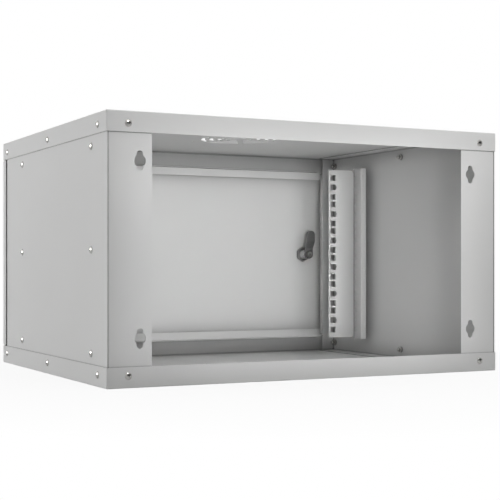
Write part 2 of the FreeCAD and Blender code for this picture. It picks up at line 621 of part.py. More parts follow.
def build_rail_support(label, turned_over):
    """Channel that stands the rail off the side panel."""
    body = new_part(label, turned_over)
    front = f"({RAIL_BOLT_Y} - support_width / 2)"
    rear = f"({RAIL_BOLT_Y} + support_width / 2)"
    plan = new_sketch(body, f"{label}_plan", "XY")
    draw_outline(plan, [(SUPPORT_OUT, rear), (SUPPORT_OUT, front), (SUPPORT_IN, front),
                        (SUPPORT_IN, rear), (f"({SUPPORT_IN} + rail_steel)", rear),
                        (f"({SUPPORT_IN} + rail_steel)", f"({front} + rail_steel)"),
                        (f"({SUPPORT_OUT} - rail_steel)", f"({front} + rail_steel)"),
                        (f"({SUPPORT_OUT} - rail_steel)", rear)])
    pad(body, plan, f"2 * {RAIL_WEB_TOP}")
    round_edges(body, f"{label}_folds", "rail_bend",
                [(SUPPORT_OUT, front, None), (SUPPORT_IN, front, None)])
    to_panel = new_sketch(body, f"{label}_panel_holes", "YZ", (SUPPORT_OUT, "0", "0"))
    for row in (f"0 - {PANEL_BOLT_Z}", "0", PANEL_BOLT_Z):
        draw_circle(to_panel, RAIL_BOLT_Y, row, BOLT_HOLE)
    pocket(body, to_panel, THROUGH_RAIL)
    to_rail = new_sketch(body, f"{label}_rail_holes", "YZ", (SUPPORT_IN, "0", "0"))
    cut_rail_screw_holes(body, to_rail)


def cut_rail_screw_holes(body, sketch):
    for number in range(RAIL_SCREWS):
        draw_circle(sketch, RAIL_BOLT_Y, f"({RAIL_SCREW_TOP} - {number} * rail_screw_pitch)",
                    BOLT_HOLE)
    pocket(body, sketch, THROUGH_RAIL)


def build_rail(label, turned_over):
    """19 inch rail: a face with square holes, a web, a rear fold and a leg on its support."""
    body = new_part(label, turned_over)
    face_in = f"({RAIL_HOLE_X} - rail_edge)"
    face_front = f"({RAIL_FACE} - rail_steel)"
    leg_in = f"({RAIL_OUT} - rail_steel)"
    leg_front = f"({RAIL_REAR} - rail_leg)"
    fold_front = f"({RAIL_REAR} - rail_steel)"
    web_out = f"({RAIL_WEB_X} + rail_steel)"
    plan = new_sketch(body, f"{label}_plan", "XY")
    draw_outline(plan, [(face_in, RAIL_FACE), (RAIL_WEB_X, RAIL_FACE), (RAIL_WEB_X, RAIL_REAR),
                        (RAIL_OUT, RAIL_REAR), (RAIL_OUT, leg_front), (leg_in, leg_front),
                        (leg_in, fold_front), (web_out, fold_front), (web_out, face_front),
                        (face_in, face_front)])
    pad(body, plan, f"2 * {RAIL_WEB_TOP}")
    round_edges(body, f"{label}_folds", "rail_bend",
                [(RAIL_WEB_X, RAIL_REAR, None), (RAIL_OUT, RAIL_REAR, None),
                 (web_out, face_front, None)])
    trim = new_sketch(body, f"{label}_trim", "XZ", ("0", RAIL_FACE, "0"))
    relief = f"({RAIL_WEB_X} - rail_relief)"
    past_end = f"({RAIL_WEB_TOP} + rail_steel)"
    for side in ("", "0 - "):
        draw_outline(trim, [(f"({face_in} - rail_steel)", f"{side}{past_end}"),
                            (f"({face_in} - rail_steel)", f"{side}{RAIL_TOP}"),
                            (f"({relief} - rail_corner)", f"{side}{RAIL_TOP}"),
                            (relief, f"{side}({RAIL_TOP} - rail_corner)"),
                            (relief, f"{side}{past_end}")],
                     {2: (f"({relief} - rail_corner)", f"{side}({RAIL_TOP} - rail_corner)",
                          "DistanceX")})
    pocket(body, trim, THROUGH_RAIL)
    unit_holes = new_sketch(body, f"{label}_unit_holes", "XZ", ("0", RAIL_FACE, "0"))
    unit_slots = new_sketch(body, f"{label}_unit_slots", "YZ", (RAIL_WEB_X, "0", "0"))
    left = f"({RAIL_HOLE_X} - hole_half)"
    right = f"({RAIL_HOLE_X} + hole_half)"
    for step in range(UNIT_HOLES):
        middle = f"({FIRST_HOLE_Z} + {step} * hole_step)"
        corners = [(left, f"({middle} + hole_half)"), (left, f"({middle} - hole_half)"),
                   (right, f"({middle} - hole_half)"), (right, f"({middle} + hole_half)")]
        if step == 1:
            corners.insert(3, (f"({right} + hole_point)", middle))
        draw_outline(unit_holes, corners)
        draw_slot(unit_slots, f"({RAIL_FACE} + web_slot_back)", middle, "web_slot_radius",
                  "web_slot_length")
    for sketch in (unit_holes, unit_slots):
        unit = pocket(body, sketch, THROUGH_RAIL)
        repeat(body, [unit], ("Z", "(rack_units - 1) * rack_unit", "rack_units"))
    leg_holes = new_sketch(body, f"{label}_leg_holes", "YZ", (leg_in, "0", "0"))
    cut_rail_screw_holes(body, leg_holes)


# Bolts and nuts of one side; the other side is the same group turned over

def build_cover_bolts(label, turned_over):
    body = new_part(label, turned_over)
    seat = (HALF_WIDTH, COVER_BOLT_FRONT, f"0 - {COVER_BOLT_Z}")
    first = screw(body, f"{label}_first", seat, "+X", "cover_bolt")
    repeat(body, first, ("Y", f"{COVER_BOLT_REAR} - {COVER_BOLT_FRONT}", 3),
           ("Z", f"2 * {COVER_BOLT_Z}", 2))


def build_cover_nuts(label, turned_over):
    """The front and middle nuts seat on the panel, the rear one on the post's leg."""
    body = new_part(label, turned_over)
    low = f"0 - {COVER_BOLT_Z}"
    on_panel = nut(body, f"{label}_front", (PANEL_IN, COVER_BOLT_FRONT, low), "-X")
    repeat(body, [on_panel], ("Y", f"{COVER_BOLT_MIDDLE} - {COVER_BOLT_FRONT}", 2),
           ("Z", f"2 * {COVER_BOLT_Z}", 2))
    on_post = nut(body, f"{label}_rear", (POST_IN, COVER_BOLT_REAR, low), "-X")
    repeat(body, [on_post], ("Z", f"2 * {COVER_BOLT_Z}", 2))


def build_panel_bolts(label, turned_over):
    body = new_part(label, turned_over)
    seat = (PANEL_OUT, RAIL_BOLT_Y, f"0 - {PANEL_BOLT_Z}")
    first = screw(body, f"{label}_first", seat, "+X", "panel_bolt")
    repeat(body, first, ("Y", f"{POST_BOLT_Y} - {RAIL_BOLT_Y}", 2),
           ("Z", f"2 * {PANEL_BOLT_Z}", 3))


def build_panel_nuts(label, turned_over):
    """One column of nuts in the rail support, one on the rear post's leg."""
    body = new_part(label, turned_over)
    low = f"0 - {PANEL_BOLT_Z}"
    in_support = (f"({SUPPORT_OUT} - rail_steel)", RAIL_BOLT_Y, low)
    for name, seat in (("rail", in_support), ("post", (POST_IN, POST_BOLT_Y, low))):
        first = nut(body, f"{label}_{name}", seat, "-X")
        repeat(body, [first], ("Z", f"2 * {PANEL_BOLT_Z}", 3))


def build_rail_screws(label, turned_over):
    body = new_part(label, turned_over)
    seat = (f"({RAIL_OUT} - rail_steel)", RAIL_BOLT_Y, f"0 - {RAIL_SCREW_TOP}")
    first = screw(body, f"{label}_first", seat, "-X", "panel_bolt")
    repeat(body, first, ("Z", f"2 * {RAIL_SCREW_TOP}", RAIL_SCREWS))


def build_rail_nuts(label, turned_over):
    body = new_part(label, turned_over)
    seat = (f"({SUPPORT_IN} + rail_steel)", RAIL_BOLT_Y, f"0 - {RAIL_SCREW_TOP}")
    first = nut(body, f"{label}_first", seat, "+X")
    repeat(body, [first], ("Z", f"2 * {RAIL_SCREW_TOP}", RAIL_SCREWS))


def build_wall_screws():
    body = new_part("wall_side_screws")
    seat = (f"0 - {WALL_BOLT_X}", HALF_DEPTH, f"0 - {COVER_BOLT_Z}")
    first = screw(body, "wall_side_screw", seat, "+Y", "cover_bolt")
    repeat(body, first, ("X", f"2 * {WALL_BOLT_X}", 2), ("Z", f"2 * {COVER_BOLT_Z}", 2))


def build_wall_nuts():
    body = new_part("wall_side_nuts")
    seat = (f"0 - {WALL_BOLT_X}", POST_INNER_FACE, f"0 - {COVER_BOLT_Z}")
    first = nut(body, "wall_side_nut", seat, "-Y")
    repeat(body, [first], ("X", f"2 * {WALL_BOLT_X}", 2), ("Z", f"2 * {COVER_BOLT_Z}", 2))


# Hinge, at the top and at the bottom of the door's +X side

def build_hinge(end, side):
    """side is '' above the door and '0 - ' below it."""
    away = "+Z" if side == "" else "-Z"
    bracket = new_part(f"hinge_bracket_{end}")
    leg = f"({COVER_EDGE} + bracket_rise)"
    plate_top = f"({COVER_EDGE} + bracket_steel)"
    plate_front = f"({DOOR_FRONT} + steel + bracket_gap)"
    leg_front = f"({PANEL_FRONT} - bracket_steel)"
    bracket_in = f"({PANEL_OUT} - bracket_width)"
    profile = new_sketch(bracket, f"bracket_{end}_profile", "YZ", (bracket_in, "0", "0"))
    draw_outline(profile, [(PANEL_FRONT, side + COVER_EDGE), (plate_front, side + COVER_EDGE),
                           (plate_front, side + plate_top), (leg_front, side + plate_top),
                           (leg_front, side + leg), (PANEL_FRONT, side + leg)])
    pad(bracket, profile, "bracket_width", "+X")
    pin_hole = new_sketch(bracket, f"bracket_{end}_hole", "XY", (HINGE_X, HINGE_Y, side + COVER_EDGE))
    draw_circle(pin_hole, "0", "0", "(pin_radius + thread_fit)")
    pocket(bracket, pin_hole, "4 * bracket_steel")

    pin = new_part(f"hinge_pin_{end}")
    turn_profile(pin, f"pin_{end}_profile",
                 [("pin_head_height", "0"), ("(0 - pin_length)", "0"),
                  ("(0 - pin_length)", "pin_radius"), ("0", "pin_radius"),
                  ("0", "pin_head_radius"), ("pin_head_height", "pin_head_radius")],
                 (HINGE_X, HINGE_Y, side + plate_top), away)

    bush = new_part(f"hinge_bush_{end}")
    bore = "(pin_radius + run_fit)"
    turn_profile(bush, f"bush_{end}_profile",
                 [("(door_gap - fit)", bore), ("(door_gap - fit)", "bush_collar"),
                  ("0", "bush_collar"), ("0", "bush_radius"), ("(0 - bush_reach)", "bush_radius"),
                  ("(0 - bush_reach)", bore)],
                 (HINGE_X, HINGE_Y, side + DOOR_TOP), away)


# Door and lock

def build_door():
    """A pan folded from one sheet, with a hem along its top and bottom edges."""
    body = new_part("door_panel")
    blank = new_sketch(body, "door_blank", "XZ", ("0", DOOR_FRONT, "0"))
    sides = [f"0 - {HALF_WIDTH}", HALF_WIDTH]
    ends = [f"0 - {DOOR_TOP}", DOOR_TOP]
    draw_rectangle(blank, *sides, *ends)
    pad(body, blank, "door_depth", "+Y")
    folds = [(side, DOOR_FRONT, None) for side in sides] + [(None, DOOR_FRONT, end) for end in ends]
    corners = [(side, None, end) for side in sides for end in ends]
    round_edges(body, "door_folds", "bend", folds + corners)
    hollow = new_sketch(body, "door_hollow", "XZ", ("0", f"({DOOR_FRONT} + steel)", "0"))
    inner_top = f"({DOOR_TOP} - steel)"
    draw_rectangle(hollow, f"0 - {COVER_IN}", COVER_IN, f"0 - {inner_top}", inner_top)
    pocket(body, hollow, "door_depth", "+Y")
    hems = new_sketch(body, "door_hems", "XZ", ("0", DOOR_REAR, "0"))
    hem_x = f"({HALF_WIDTH} - hem_end)"
    for side in ("", "0 - "):
        draw_rectangle(hems, f"0 - {hem_x}", hem_x, f"{side}({DOOR_TOP} - hem)",
                       f"{side}{inner_top}")
    pad(body, hems, "steel", "-Y")
    lock_hole = new_sketch(body, "door_lock_hole", "XZ", (LOCK_X, DOOR_FRONT, "0"))
    draw_circle(lock_hole, "0", "0", "(barrel_radius + run_fit)")
    pocket(body, lock_hole, THROUGH_SHEET)
    hinge_holes = new_sketch(body, "door_hinge_holes", "XY", (HINGE_X, HINGE_Y, "0"))
    draw_circle(hinge_holes, "0", "0", "(bush_radius + run_fit)")
    pocket(body, hinge_holes, f"4 * {DOOR_TOP}")


def build_lock():
    axis_at_front = (LOCK_X, DOOR_FRONT, "0")
    housing = new_part("lock_housing")
    bore = "(plug_radius + run_fit)"
    turn_profile(housing, "housing_profile",
                 [("bezel_height", bore), ("bezel_height", "(bezel_radius - bezel_bevel)"),
                  ("(bezel_height - bezel_bevel)", "bezel_radius"), ("0", "bezel_radius"),
                  ("0", "barrel_radius"), ("(0 - barrel_length)", "barrel_radius"),
                  ("(0 - barrel_length)", bore)], axis_at_front, "-Y")

    nut(new_part("lock_nut"), "lock_nut_hexagon", (LOCK_X, f"({DOOR_FRONT} + steel)", "0"), "+Y",
        "lock_nut_flats", "lock_nut_height", "barrel_radius", corner_up=True)

    cylinder = new_part("lock_cylinder")
    plug_front = "(bezel_height - plug_recess)"
    turn_profile(cylinder, "cylinder_profile",
                 [(plug_front, "0"), ("(0 - barrel_length)", "0"),
                  ("(0 - barrel_length)", "plug_radius"), (plug_front, "plug_radius")],
                 axis_at_front, "-Y")
    drive = new_sketch(cylinder, "cylinder_drive", "XZ", (LOCK_X, BARREL_END, "0"))
    draw_rectangle(drive, "0 - drive_half", "drive_half", "0 - drive_half", "drive_half")
    pad(cylinder, drive, "cam_steel", "+Y")
    key = new_sketch(cylinder, "cylinder_key", "XZ", (LOCK_X, f"({DOOR_FRONT} - {plug_front})", "0"))
    draw_rectangle(key, "0 - key_half_width", "key_half_width", "0 - key_half_height",
                   "key_half_height")
    pocket(cylinder, key, "key_depth", "+Y")
    tapped = new_sketch(cylinder, "cylinder_tapped", "XZ", (LOCK_X, f"({BARREL_END} + cam_steel)", "0"))
    draw_circle(tapped, "0", "0", "(bolt_radius + thread_fit)")
    pocket(cylinder, tapped, "cam_screw_length", "-Y")

    cam = new_part("lock_cam")
    profile = new_sketch(cam, "cam_profile", "YZ", (LOCK_X, "0", "0"))
    tail = "(0 - cam_tail)"
    draw_outline(profile, [(CAM_FACE, tail), (CAM_REAR, tail), (CAM_REAR, "joggle_start"),
                           (f"({CAM_REAR} + cam_offset)", "joggle_end"),
                           (f"({CAM_REAR} + cam_offset)", "cam_reach"),
                           (f"({CAM_FACE} + cam_offset)", "cam_reach"),
                           (f"({CAM_FACE} + cam_offset)", "joggle_end"), (CAM_FACE, "joggle_start")])
    pad(cam, profile, "cam_width")
    edges = [f"({LOCK_X} - cam_width / 2)", f"({LOCK_X} + cam_width / 2)"]
    round_edges(cam, "cam_tip", "cam_tip_round", [(edge, None, "cam_reach") for edge in edges])
    round_edges(cam, "cam_tail", "cam_tail_round", [(edge, None, tail) for edge in edges])
    square = new_sketch(cam, "cam_square", "XZ", (LOCK_X, CAM_FACE, "0"))
    half = "(drive_half + thread_fit)"
    draw_rectangle(square, f"0 - {half}", half, f"0 - {half}", half)
    pocket(cam, square, "4 * cam_steel")

    washer = new_part("cam_washer")
    ring = new_sketch(washer, "washer_ring", "XZ", (LOCK_X, CAM_REAR, "0"))
    draw_circle(ring, "0", "0", "washer_radius")
    draw_circle(ring, "0", "0", "(bolt_radius + hole_gap)")
    pad(washer, ring, "washer_height", "+Y")

    screw(new_part("cam_screw"), "cam_screw_turned", (LOCK_X, WASHER_REAR, "0"), "+Y",
          "cam_screw_length", "bolt_radius", "cam_screw_head", "cam_screw_height")


# The whole cabinet

for end, turned_over in (("top", False), ("bottom", True)):
    build_cover(f"{end}_cover", turned_over)
    build_entry_plate(f"{end}_entry_plate", turned_over)
    build_entry_studs(f"{end}_entry_studs", turned_over)
    build_entry_nuts(f"{end}_entry_nuts", turned_over)
for hand, turned_over in (("right", False), ("left", True)):
    build_side_panel(f"{hand}_side_panel", turned_over)
    build_rear_post(f"{hand}_rear_post", turned_over)
    build_rail_support(f"{hand}_rail_support", turned_over)
    build_rail(f"{hand}_rail", turned_over)
    build_cover_bolts(f"{hand}_cover_bolts", turned_over)
    build_cover_nuts(f"{hand}_cover_nuts", turned_over)
    build_panel_bolts(f"{hand}_panel_bolts", turned_over)
    build_panel_nuts(f"{hand}_panel_nuts", turned_over)
    build_rail_screws(f"{hand}_rail_screws", turned_over)
    build_rail_nuts(f"{hand}_rail_nuts", turned_over)
build_wall_screws()
build_wall_nuts()
build_hinge("top", "")
build_hinge("bottom", "0 - ")
build_door()
build_lock()
doc.recompute()

for item in doc.Objects:
    if "Invalid" in item.State or "Error" in item.State:
        raise RuntimeError(f"{item.Label} failed: {item.State}")
for cut in cuts:
    if cut.Shape.Volume > cut.BaseFeature.Shape.Volume - 0.01:
        raise RuntimeError(f"{cut.Label} cuts nothing")
for body in parts:
    if body.Shape.isNull() or not body.Shape.isValid():
        raise RuntimeError(f"{body.Label} has no valid shape")

os.makedirs("parts", exist_ok=True)
for body in parts:
    body.Shape.exportStep(os.path.join("parts", f"{body.Label}.step"))
    print(body.Label, len(body.Shape.Solids), "solids,", round(body.Shape.Volume), "mm3")
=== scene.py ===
# %% [markdown]
# A wall mount network cabinet, dressed for a photograph. The sheet metal, the rails, the door and
# the lock arrive as exact solids, one object to a piece. This lesson gives each of them a finish,
# models the small turned pieces more finely than the solids do, and sets up the studio.

# %% Load the solids
import json
import math

import bmesh
import bpy
from mathutils import Matrix, Vector

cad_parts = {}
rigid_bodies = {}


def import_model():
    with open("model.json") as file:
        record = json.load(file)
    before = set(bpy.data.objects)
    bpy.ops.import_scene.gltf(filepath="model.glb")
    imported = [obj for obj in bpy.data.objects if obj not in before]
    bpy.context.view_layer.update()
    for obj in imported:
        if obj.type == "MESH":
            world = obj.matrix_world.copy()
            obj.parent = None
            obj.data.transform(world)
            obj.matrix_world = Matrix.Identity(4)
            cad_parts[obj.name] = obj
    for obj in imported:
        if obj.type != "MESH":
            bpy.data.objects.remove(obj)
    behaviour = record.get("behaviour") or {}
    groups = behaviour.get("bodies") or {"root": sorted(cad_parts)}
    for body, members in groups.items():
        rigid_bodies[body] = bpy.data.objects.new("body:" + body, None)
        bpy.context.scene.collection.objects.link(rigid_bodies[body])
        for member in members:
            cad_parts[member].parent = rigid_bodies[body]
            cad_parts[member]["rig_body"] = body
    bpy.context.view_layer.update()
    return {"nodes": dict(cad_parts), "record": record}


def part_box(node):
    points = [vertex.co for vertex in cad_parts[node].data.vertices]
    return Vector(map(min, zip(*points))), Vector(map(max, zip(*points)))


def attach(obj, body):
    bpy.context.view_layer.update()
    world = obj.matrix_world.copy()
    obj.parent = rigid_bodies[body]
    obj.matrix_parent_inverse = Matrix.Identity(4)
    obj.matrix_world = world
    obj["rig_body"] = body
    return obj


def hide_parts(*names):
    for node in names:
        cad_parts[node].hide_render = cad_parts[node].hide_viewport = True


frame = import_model()
MM = 0.001

# %% [markdown]
# The camera stands low behind the cabinet, on the hinge side, level with the lower third. A long
# lens keeps the upright edges parallel, and a small shift puts the object where the picture has
# it. The numbers come from matching the corners and the column of rail holes.

# %% Set the camera
camera_data = bpy.data.cameras.new("camera")
camera_data.sensor_width = 36.0
camera_data.lens = 83.66
camera_data.shift_x = 0.100
camera_data.shift_y = 0.0315
camera = bpy.data.objects.new("camera", camera_data)
bpy.context.scene.collection.objects.link(camera)
camera.location = (0.8098, 1.5522, 0.1509)
camera.rotation_euler = (math.radians(90.0), 0.0, math.radians(154.379))
bpy.context.scene.camera = camera
bpy.context.scene.view_settings.view_transform = "Standard"
print("camera at", tuple(camera.location), "lens", camera_data.lens)

# %% [markdown]
# The world, the floor and the finishes are all trees of nodes. In the editor a node is added, its
# values are typed in, and its sockets are joined by hand. Three small helpers do the same here:
# one adds a node, one joins sockets, and one makes the Map Range node that turns a measured value
# into a soft mask.


# %% Write the helpers for node trees
def add(tree, kind, values=None, operation=None):
    """A shader node, its input values given by the socket's name or number."""
    node = tree.nodes.new(f"ShaderNode{kind}")
    if operation:
        node.operation = operation
    for socket, value in (values or {}).items():
        node.inputs[socket].default_value = value
    return node


def wire(tree, *links):
    """Join sockets. A link is (a node, its output, the next node, its input)."""
    for source, output, target, entry in links:
        tree.links.new(source.outputs[output], target.inputs[entry])


def fade(tree, low, high, at_low, at_high):
    """A node that goes from at_low to at_high while its value goes from low to high."""
    return add(tree, "MapRange", {"From Min": low, "From Max": high,
                                  "To Min": at_low, "To Max": at_high})


WHITE = (1.0, 1.0, 1.0, 1.0)
print("helpers ready")

# %% [markdown]
# A product picture has no visible room. Where the camera looks past the cabinet it sees plain
# white. The light that the room itself gives is weak, so that the lamps do the shading. A bright
# metal shows the room in its shine, so shiny pieces see a third thing: white walls with a wide
# dark patch. That patch gives each screw head its dark band. It is a stretched ball round one
# direction, and the walls get darker toward its middle. Light Path tells the three kinds of ray
# apart.

# %% Build the world
PATCH_DIRECTION = (-0.4, 0.9, 0.2)
PATCH_STRETCH = (0.7, 0.7, 1.3)
PATCH_CORE, PATCH_RIM, PATCH_LIGHT = 0.45, 0.85, 0.06
world = bpy.data.worlds.new("studio")
bpy.context.scene.world = world
world.use_nodes = True
room = world.node_tree
room.nodes.clear()
seen_paper = add(room, "Background", {"Color": WHITE, "Strength": 1.0})
shiny_walls = add(room, "Background", {"Color": WHITE, "Strength": 0.7})
room_light = add(room, "Background", {"Color": WHITE, "Strength": 0.065})
direction = add(room, "TexCoord")
from_patch = add(room, "VectorMath", {1: PATCH_DIRECTION}, "SUBTRACT")
stretched = add(room, "VectorMath", {1: PATCH_STRETCH}, "MULTIPLY")
how_far = add(room, "VectorMath", operation="LENGTH")
dark_patch = fade(room, PATCH_CORE, PATCH_RIM, PATCH_LIGHT, 1.0)
ray_kind = add(room, "LightPath")
for_shine = add(room, "MixShader")
for_camera = add(room, "MixShader")
world_out = add(room, "OutputWorld")
wire(room,
     (direction, "Generated", from_patch, 0),
     (from_patch, "Vector", stretched, 0),
     (stretched, "Vector", how_far, 0),
     (how_far, "Value", dark_patch, "Value"),
     (dark_patch, "Result", shiny_walls, "Color"),
     (ray_kind, "Is Glossy Ray", for_shine, "Fac"),
     (room_light, "Background", for_shine, 1),
     (shiny_walls, "Background", for_shine, 2),
     (ray_kind, "Is Camera Ray", for_camera, "Fac"),
     (for_shine, "Shader", for_camera, 1),
     (seen_paper, "Background", for_camera, 2),
     (for_camera, "Shader", world_out, "Surface"))
print("room light", room_light.inputs["Strength"].default_value)

# %% [markdown]
# Two strips hang just above the open side and make the posts and covers lighter at the top, and a
# large soft lamp lights the hinge side. The door's inner face is as light as the outside, and only
# a beam through the opening does that: four grids, lamps whose light leaves in a narrow cone, aim
# at the door, at the far side panel and up at the roof. A soft panel in the cabinet's mouth fills
# the folds behind the rails. The last lamps serve the sides that the camera doesn't see. Only three
# lamps show in reflections, so that no glare lies on the roof and each screw has one bright spot.

# %% Hang the lamps
LAMPS = (
    # name, place, aimed at, width and height in metres, watts, spread in degrees
    ("strip_lock_side", (-0.38, 0.62, 0.62), (-0.15, 0.22, 0.28), (0.4, 0.2), 1.75, 180.0),
    ("strip_hinge_side", (0.22, 0.55, 0.64), (0.15, 0.22, 0.28), (0.3, 0.2), 0.95, 180.0),
    ("hinge_side", (2.3, -0.8, 0.6), (0.3, 0.0, 0.17), (1.4, 1.0), 24.5, 180.0),
    ("grid_middle", (0.0, 1.5, 0.17), (-0.06, -0.2, 0.17), (0.46, 0.30), 0.072, 5.0),
    ("grid_by_camera", (0.67, 1.75, 0.17), (-0.13, -0.2, 0.17), (0.45, 0.30), 0.122, 5.0),
    ("grid_at_panel", (1.2, 1.2, 0.17), (-0.30, 0.08, 0.17), (0.26, 0.28), 0.010, 5.0),
    ("grid_at_roof", (0.35, 1.3, 0.04), (-0.05, -0.15, 0.33), (0.40, 0.06), 0.008, 6.0),
    ("mouth", (0.0, 0.13, 0.171), (0.0, -0.2, 0.171), (0.50, 0.28), 0.185, 165.0),
    ("overhead", (0.0, 0.0, 2.6), (0.0, 0.0, 0.0), (2.0, 2.0), 7.0, 180.0),
    ("door_side", (-0.6, -2.6, 0.9), (0.0, 0.0, 0.17), (1.6, 1.2), 24.0, 180.0),
    ("lock_side", (-2.6, -0.2, 0.8), (0.0, 0.0, 0.17), (1.4, 1.0), 22.0, 180.0),
)
LAMPS_IN_REFLECTIONS = ("strip_hinge_side", "hinge_side", "mouth")
for name, place, aim, (width, height), watts, spread in LAMPS:
    lamp_data = bpy.data.lights.new(name, "AREA")
    lamp_data.shape = "RECTANGLE"
    lamp_data.size = width
    lamp_data.size_y = height
    lamp_data.energy = watts
    lamp_data.spread = math.radians(spread)
    lamp = bpy.data.objects.new(name, lamp_data)
    bpy.context.scene.collection.objects.link(lamp)
    lamp.visible_glossy = name in LAMPS_IN_REFLECTIONS
    lamp.location = place
    lamp.rotation_euler = (Vector(aim) - Vector(place)).to_track_quat("-Z", "Y").to_euler()
print("lamps:", len(LAMPS))

# %% [markdown]
# The floor is a wide white sheet. For the camera it is nearly all plain white, and wholly so a
# little way off, so it melts into the background. Close to the cabinet a small share stays real
# paper, and that keeps the faint shadow where the cabinet stands.

# %% Lay the floor
FLOOR_SIZE = 14.0
FLOOR_LEVEL = -0.0004
PAPER_COLOUR = (0.85, 0.85, 0.85, 1.0)
GLOW_NEAR, GLOW_FROM, GLOW_WHOLE = 0.90, 0.30, 0.75
bpy.ops.object.select_all(action="DESELECT")
bpy.ops.mesh.primitive_plane_add(size=FLOOR_SIZE, location=(0.0, 0.0, FLOOR_LEVEL))
floor = bpy.context.active_object
floor.name = "paper_floor"
bpy.ops.object.transform_apply(location=True, rotation=True, scale=True)
paper = bpy.data.materials.new("white_paper")
paper.use_nodes = True
sheet = paper.node_tree
sheet.nodes.clear()
paper_matt = add(sheet, "BsdfDiffuse", {"Color": PAPER_COLOUR})
paper_glow = add(sheet, "Emission", {"Color": WHITE})
paper_place = add(sheet, "TexCoord")
from_cabinet = add(sheet, "VectorMath", operation="LENGTH")
glow_share = fade(sheet, GLOW_FROM, GLOW_WHOLE, GLOW_NEAR, 1.0)
paper_ray = add(sheet, "LightPath")
camera_share = add(sheet, "Math", operation="MULTIPLY")
paper_mix = add(sheet, "MixShader")
paper_out = add(sheet, "OutputMaterial")
wire(sheet,
     (paper_place, "Object", from_cabinet, 0),
     (from_cabinet, "Value", glow_share, "Value"),
     (paper_ray, "Is Camera Ray", camera_share, 0),
     (glow_share, "Result", camera_share, 1),
     (camera_share, "Value", paper_mix, "Fac"),
     (paper_matt, "BSDF", paper_mix, 1),
     (paper_glow, "Emission", paper_mix, 2),
     (paper_mix, "Shader", paper_out, "Surface"))
floor.data.materials.append(paper)
print("floor ready")

# %% [markdown]
# All the finishes share four effects, so each effect is a node group with named inputs. A group
# starts empty: its sockets are declared first, and the nodes between them come after.


# %% Write the start of a group
FLOAT = "NodeSocketFloat"
COLOUR = "NodeSocketColor"
VECTOR = "NodeSocketVector"


def new_group(name, sockets_in, sockets_out):
    """A node group with its ends. Sockets in are (name, kind, value), sockets out (name, kind)."""
    group = bpy.data.node_groups.new(name, "ShaderNodeTree")
    for label, kind, value in sockets_in:
        made = group.interface.new_socket(label, in_out="INPUT", socket_type=kind)
        made.default_value = value
    for label, kind in sockets_out:
        group.interface.new_socket(label, in_out="OUTPUT", socket_type=kind)
    start = group.nodes.new("NodeGroupInput")
    finish = group.nodes.new("NodeGroupOutput")
    return group, start, finish


print("groups can be made")

# %% [markdown]
# The first effect is the skin of a sprayed or plated surface: a fine, irregular ripple, made of a
# broad noise with a finer one over it. It puts out a height for the Bump node, and a value from
# 0 to 1 that can shift the roughness. The Mix node repeats its socket names for each kind of
# value, so its sockets are picked by number.

# %% Make the rippled skin
FINER_BY = 3.7
ripple, ripple_in, ripple_out = new_group(
    "rippled_skin",
    [("Place", VECTOR, (0.0, 0.0, 0.0)), ("Size per metre", FLOAT, 700.0),
     ("Fine share", FLOAT, 0.3)],
    [("Height", FLOAT), ("Patch", FLOAT)])
broad = add(ripple, "TexNoise", {"Detail": 1.5})
fine = add(ripple, "TexNoise", {"Detail": 2.0})
finer_scale = add(ripple, "Math", {1: FINER_BY}, "MULTIPLY")
ripple_mix = add(ripple, "Mix")
wire(ripple,
     (ripple_in, "Place", broad, "Vector"),
     (ripple_in, "Place", fine, "Vector"),
     (ripple_in, "Size per metre", broad, "Scale"),
     (ripple_in, "Size per metre", finer_scale, 0),
     (finer_scale, "Value", fine, "Scale"),
     (ripple_in, "Fine share", ripple_mix, 0),
     (broad, "Fac", ripple_mix, 2),
     (fine, "Fac", ripple_mix, 3),
     (ripple_mix, 0, ripple_out, "Height"),
     (broad, "Fac", ripple_out, "Patch"))
print("group:", ripple.name)

# %% [markdown]
# The second effect is the uneven tone of a real coat. A large, slow noise makes some areas a
# touch lighter, and a very small one makes the specks of the powder's grains. Both multiply the
# finish's own colour, so one group serves light paint and bright metal.

# %% Make the uneven tone
tone, tone_in, tone_out = new_group(
    "uneven_tone",
    [("Place", VECTOR, (0.0, 0.0, 0.0)), ("Colour", COLOUR, (0.6, 0.6, 0.6, 1.0)),
     ("Slow amount", FLOAT, 0.03), ("Speck amount", FLOAT, 0.04),
     ("Specks per metre", FLOAT, 2500.0)],
    [("Colour", COLOUR)])
slow = add(tone, "TexNoise", {"Scale": 7.0, "Detail": 3.0})
speck = add(tone, "TexNoise", {"Detail": 1.0})
both = add(tone, "Math", operation="ADD")
for number, (noise, amount) in enumerate(((slow, "Slow amount"), (speck, "Speck amount"))):
    centred = add(tone, "Math", {1: 0.5}, "SUBTRACT")
    scaled = add(tone, "Math", operation="MULTIPLY")
    wire(tone,
         (tone_in, "Place", noise, "Vector"),
         (noise, "Fac", centred, 0),
         (centred, "Value", scaled, 0),
         (tone_in, amount, scaled, 1),
         (scaled, "Value", both, number))
around_one = add(tone, "Math", {1: 1.0}, "ADD")
grown = add(tone, "VectorMath", operation="SCALE")
wire(tone,
     (tone_in, "Specks per metre", speck, "Scale"),
     (both, "Value", around_one, 0),
     (tone_in, "Colour", grown, 0),
     (around_one, "Value", grown, "Scale"),
     (grown, "Vector", tone_out, "Colour"))
print("group:", tone.name)
